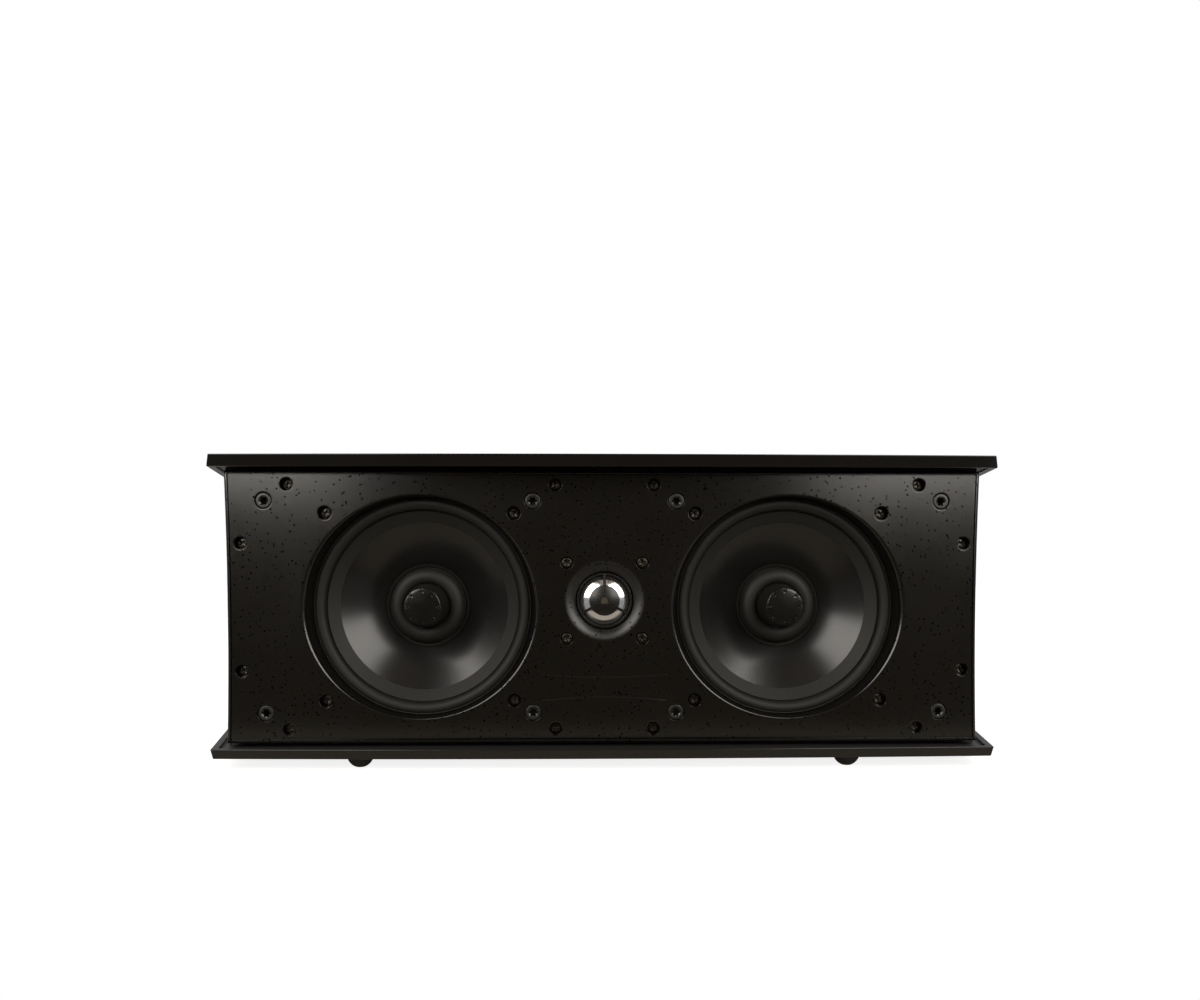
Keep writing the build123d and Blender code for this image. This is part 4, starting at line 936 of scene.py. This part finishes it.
def addDiffuser():
    # a ring on the guard, a pierced disc that follows the dome, and spokes between them
    sizes = diffuserSizes
    bore, outer = sizes["ring"]
    ringFront, ringBack = sizes["ringDepth"]
    boreEdge, outerEdge = sizes["ringEdges"]
    ring = rounded([(bore, ringBack, 0), (bore, ringFront, boreEdge), (outer, ringFront, outerEdge),
                    (outer, ringBack, 0)])
    proud = sizes["gap"] + sizes["wall"]
    radius = np.linspace(sizes["hole"], sizes["disc"], sizes["discSteps"])
    face, back = (np.stack([radius, domeDepth(radius, out)], axis=1) for out in (proud, sizes["gap"]))
    lip = arc(face[-1], back[-1], -sizes["lip"], sizes["lipSteps"])[1:-1]
    innerLip = arc(back[0], face[0], -sizes["lip"], sizes["lipSteps"])[1:-1]
    disc = np.concatenate([face, lip, back[::-1], innerLip])
    grids = [turned(section, tweeterPlace, sizes["segments"]) for section in (ring, disc)]
    # spoke: a closed section carried from the ring to the disc and on over its face, where it fades out
    spoke = spokeSizes
    start = (bore + outer) / 2
    reach = np.linspace(start, spoke["ridgeEnd"], spoke["steps"])[:, None]
    onDisc = reach < sizes["disc"]
    top = domeDepth(np.minimum(reach, sizes["disc"]), proud)
    slope = (reach - sizes["disc"]) / (start - sizes["disc"])
    top = np.where(onDisc, top, top + slope * (ringFront + spoke["sink"] - top))
    fade = (reach - spoke["ridgeEnd"]) / (sizes["disc"] - spoke["ridgeEnd"])
    fade = np.clip(fade, spoke["fadeLeast"], 1)
    thin, thick = spoke["ridgeWidths"]
    across = np.array(spoke["across"]) * spoke["half"] * np.where(onDisc, thin + (thick - thin) * fade, 1)
    lift = spoke["ridgeLift"] * np.sqrt(fade)
    height = np.where(onDisc, lift + spoke["ridgeFoot"], sizes["wall"])
    depth = np.array(spoke["down"]) * height + top - lift
    for i in range(spoke["count"]):
        angle = np.pi / 2 + i * 2 * np.pi / spoke["count"]
        x = tweeterPlace[0] + reach * np.cos(angle) - across * np.sin(angle)
        z = tweeterPlace[1] + reach * np.sin(angle) + across * np.cos(angle)
        grids.append((np.stack([x, faceY + depth, z], axis=-1), cappedFaces(*depth.shape)))
    addPiece("diffuserGuide", grids, "tweeter_polymer", standsFor=["tweeter_diffuser"], sharp=30)


addDome()
addDomeRoll()
addDiffuser()
print("tweeter made")


# Terminals on the rear: a moulded cup, gold posts and fluted knobs

cupSizes = {"flange": (90.0, 70.0, 7.0), "body": (63.0, 49.0, 5.0), "hollow": (58.0, 44.0, 5.0),
            "floor": (54.5, 40.5, 4.0), "floorRound": ((0, 1.0), (0.4, 0.3), (1.2, 0)),
            "flangeThickness": 3.0, "hollowDepth": 24.0, "bodyWall": 2.5, "edge": 0.9, "edgeSteps": 5}
cupBack = boxOf("terminal_cup")[1][1]
cupFloor = cupBack - cupSizes["hollowDepth"]
floorDepth = cupFloor - faceY
postPlaces = {knob: middleOf(f"knob_{knob}")[[0, 2]] for knob in ("positive", "negative")}


def addTerminalCup():
    # rounded rectangles of (width, height, corner), each with its inset and its place along y
    sizes = cupSizes
    middle = middleOf("terminal_cup")[[0, 2]]
    edge = sizes["edge"]
    body, flange, hollow, floor = (sizes[part] for part in ("body", "flange", "hollow", "floor"))
    under = cupBack - sizes["flangeThickness"]
    turns = quarterTurn(sizes["edgeSteps"])
    rows = [(body, 0, cupFloor - sizes["bodyWall"]), (body, 0, under), (flange, 0, under)]
    rows += [(flange, edge * (1 - np.cos(t)), cupBack - edge * (1 - np.sin(t))) for t in turns]
    rows += [(hollow, -edge * (1 - np.sin(t)), cupBack - edge * (1 - np.cos(t))) for t in turns]
    rows += [(floor, inset, cupFloor + rise) for inset, rise in sizes["floorRound"]]
    points = np.stack([upright(insetLoop(roundedRectangle(*shape), inset) + middle, y)
                       for shape, inset, y in rows])
    faces = cappedFaces(*points.shape[:2])
    addPiece("terminalCupMoulding", [(points, faces)], "terminal_polymer", standsFor=["terminal_cup"])


postSizes = {"collar": 5.5, "collarHeight": 3.0, "collarEdge": 0.5, "stud": 3.0, "studLength": 20.0,
             "tipEdge": 0.5, "bore": 2.05, "boreDepth": 14.0, "pitch": 0.8, "threadDepth": 0.22,
             "threadFrom": 16.0, "threadLead": 0.4, "threadShort": 0.6, "threadSteps": 60, "segments": 64}


def addPosts():
    # thread on the showing end: radius falls by the thread's depth and back once in each pitch
    sizes = postSizes
    stud, end = sizes["stud"], sizes["studLength"]
    collar = rounded([(0, 0, 0), (sizes["collar"], 0, 0),
                      (sizes["collar"], sizes["collarHeight"], sizes["collarEdge"]),
                      (stud, sizes["collarHeight"], 0)], closed=False)
    height = np.linspace(sizes["threadFrom"], end - sizes["threadShort"], sizes["threadSteps"])
    thread = stud - sizes["threadDepth"] * np.abs(2 * ((height / sizes["pitch"]) % 1) - 1)
    boreEnd = end - sizes["boreDepth"]
    tip = [(stud - sizes["tipEdge"], end), (sizes["bore"], end), (sizes["bore"], boreEnd), (0, boreEnd)]
    section = np.concatenate([collar, [[stud, sizes["threadFrom"] - sizes["threadLead"]]],
                              np.stack([thread, height], axis=1), tip]) + [0, floorDepth]
    grids = [turned(section, place, sizes["segments"], wrap=False) for place in postPlaces.values()]
    addPiece("postStuds", grids, "post_metal", standsFor=["terminal_posts"])


knobSizes = {"radius": 6.22, "flute": 0.26, "flutes": 16, "bore": 3.08, "start": 3.4, "length": 13.0,
             "edge": 0.8, "boreEdge": 0.3, "waist": 0.5, "waistHalf": (1.0, 0.6), "waistEdges": (0.3, 0.2),
             "segments": 192}


def addKnobs():
    # radius = R + flute * cos 16a, eased at both ends and drawn in at the waist
    sizes = knobSizes
    angle = roundAngles(sizes["segments"])
    outer = sizes["radius"]
    neck = outer - sizes["waist"]
    start = floorDepth + sizes["start"]
    end = start + sizes["length"]
    waist = (start + end) / 2
    wide, narrow = sizes["waistHalf"]
    wideEdge, narrowEdge = sizes["waistEdges"]
    profile = rounded([
        (sizes["bore"], start, 0), (outer, start, sizes["edge"]),
        (outer, waist - wide, wideEdge), (neck, waist - narrow, narrowEdge),
        (neck, waist + narrow, narrowEdge), (outer, waist + wide, wideEdge),
        (outer, end, sizes["edge"]), (sizes["bore"], end, sizes["boreEdge"]),
    ])
    share = np.clip((profile[:, :1] - outer + sizes["edge"]) / sizes["edge"], 0, 1)
    radius = profile[:, :1] + share * sizes["flute"] * np.cos(sizes["flutes"] * angle)
    faces = gridFaces(len(profile), len(angle), True)
    for knob, place in postPlaces.items():
        slot = "knob_red" if knob == "positive" else "knob_black"
        addPiece(f"{knob}KnobGrip", [(around(radius, profile[:, 1:], angle, place), faces)], slot,
                 f"{knob}_knob", [f"knob_{knob}"])


addTerminalCup()
addPosts()
addKnobs()
print("terminals made")


# Stage: a pale floor, soft lamps and the photograph's camera; its sizes are in metres

floorSettings = {"front": -0.20, "rear": 5.0, "half": 5.0, "colour": "#bfb9ae", "near": 0.35, "far": 0.9,
                 "nearGlow": 0.85, "mirrorFrom": -0.1, "mirrorTo": 0.3}


def addFloor():
    # matt, with a glow for the camera; behind the object, shiny and clear things see the glow too
    settings = floorSettings
    half, front, rear = settings["half"], settings["front"], settings["rear"]
    mesh = bpy.data.meshes.new("paleFloor")
    corners = [(-half, front, 0), (half, front, 0), (half, rear, 0), (-half, rear, 0)]
    mesh.from_pydata(corners, [], [(0, 1, 2, 3)])
    floor = bpy.data.objects.new("paleFloor", mesh)
    bpy.context.scene.collection.objects.link(floor)
    finish = bpy.data.materials.new("paleStudioFloor")
    finish.use_nodes = True
    tree = finish.node_tree
    tree.nodes.clear()
    place = addNode(tree, "TexCoord").outputs["Object"]
    away = addNode(tree, "VectorMath", {0: place}, operation="LENGTH").outputs["Value"]
    spread = {0: away, 1: settings["near"], 2: settings["far"], 3: settings["nearGlow"], 4: 1.0}
    glow = addNode(tree, "MapRange", spread, interpolation_type="SMOOTHSTEP")
    rays = addNode(tree, "LightPath").outputs
    bounced = {0: rays["Is Glossy Ray"], 1: rays["Is Transmission Ray"]}
    shiny = addNode(tree, "Math", bounced, operation="MAXIMUM")
    depth = addNode(tree, "SeparateXYZ", {0: place}).outputs["Y"]
    rearward = {0: depth, 1: settings["mirrorFrom"], 2: settings["mirrorTo"], 3: 0.0, 4: 1.0}
    behind = addNode(tree, "MapRange", rearward)
    mirrored = addNode(tree, "Math", {0: shiny, 1: behind}, operation="MULTIPLY")
    shown = addNode(tree, "Math", {0: rays["Is Camera Ray"], 1: mirrored}, operation="MAXIMUM")
    strength = addNode(tree, "Math", {0: glow, 1: shown}, operation="MULTIPLY")
    matt = addNode(tree, "BsdfDiffuse", {"Color": linear(settings["colour"])})
    light = addNode(tree, "Emission", {"Color": (1, 1, 1, 1), "Strength": strength})
    both = addNode(tree, "AddShader", {0: matt, 1: light})
    under = addNode(tree, "NewGeometry").outputs["Backfacing"]  # from below the floor is clear
    clear = addNode(tree, "BsdfTransparent")
    seen = addNode(tree, "MixShader", {0: under, 1: both, 2: clear})
    addNode(tree, "OutputMaterial", {"Surface": seen})
    mesh.materials.append(finish)


lampPairs = {  # one of each stands at the place given, and one across from it
    "Softbox": {"place": (0.69, -0.96, 0.612), "size": (0.85, 0.77), "power": 13.0,
                "colour": (1.0, 0.96, 0.90)},
    "Reflector": {"place": (0.66, -0.58, -0.05), "size": (0.40, 0.50), "power": 0.18,
                  "colour": (0.86, 0.94, 1.0)},
}
topPanel = {"place": (0.0, -0.80, 0.98), "size": (0.40, 0.50), "power": 0.15, "colour": (1.0, 0.88, 0.76)}
lampAim = (0.0, -0.08, 0.10)


def addLamp(name, lamp, way=1):
    data = bpy.data.lights.new(name, "AREA")
    data.shape = "RECTANGLE"
    data.energy = lamp["power"]
    data.size, data.size_y = lamp["size"]
    data.color = lamp["colour"]
    light = bpy.data.objects.new(name, data)
    x, y, z = lamp["place"]
    light.location = (way * x, y, z)
    aim = Vector(lampAim) - light.location
    light.rotation_euler = aim.to_track_quat("-Z", "Y").to_euler()
    bpy.context.scene.collection.objects.link(light)


worldSettings = {"room": "#4e453a", "from": 0.2, "to": 0.6}


def addWorld():
    # white to the camera; to everything else white behind the object and a dim room in front of it
    settings = worldSettings
    world = bpy.data.worlds.new("studioWorld")
    bpy.context.scene.world = world
    world.use_nodes = True
    tree = world.node_tree
    tree.nodes.clear()
    camera = addNode(tree, "LightPath").outputs["Is Camera Ray"]
    way = addNode(tree, "SeparateXYZ", {0: addNode(tree, "TexCoord").outputs["Generated"]}).outputs["Y"]
    rearward = {0: way, 1: settings["from"], 2: settings["to"], 3: 0.0, 4: 1.0}
    behind = addNode(tree, "MapRange", rearward, interpolation_type="SMOOTHSTEP")
    white = addNode(tree, "Math", {0: camera, 1: behind}, operation="MAXIMUM")
    shades = {0: white, 6: linear(settings["room"]), 7: (1, 1, 1, 1)}
    colour = addNode(tree, "Mix", shades, data_type="RGBA").outputs[2]
    light = addNode(tree, "Background", {"Color": colour, "Strength": 1.0})
    addNode(tree, "OutputWorld", {"Surface": light})


cameraSettings = {"place": (-0.01527, -0.65359, 0.11422), "turn": 1.263, "tilt": 2.252, "lens": 30.0,
                  "sensor": 36.0, "shiftUp": 0.0883, "clipStart": 0.01}


def addCamera():
    settings = cameraSettings
    data = bpy.data.cameras.new("photoCamera")
    data.lens = settings["lens"]
    data.sensor_width = settings["sensor"]
    data.sensor_fit = "HORIZONTAL"
    data.shift_y = settings["shiftUp"]
    data.clip_start = settings["clipStart"]
    camera = bpy.data.objects.new("photoCamera", data)
    camera.location = settings["place"]
    camera.rotation_euler = (np.radians(90 - settings["tilt"]), 0, -np.radians(settings["turn"]))
    bpy.context.scene.collection.objects.link(camera)
    bpy.context.scene.camera = camera


addFloor()
for kind, lamp in lampPairs.items():
    addLamp(f"left{kind}", lamp, way=-1)
    addLamp(f"right{kind}", lamp)
addLamp("topPanel", topPanel)
addWorld()
addCamera()
bpy.context.scene.view_settings.view_transform = "Standard"
print("stage made")
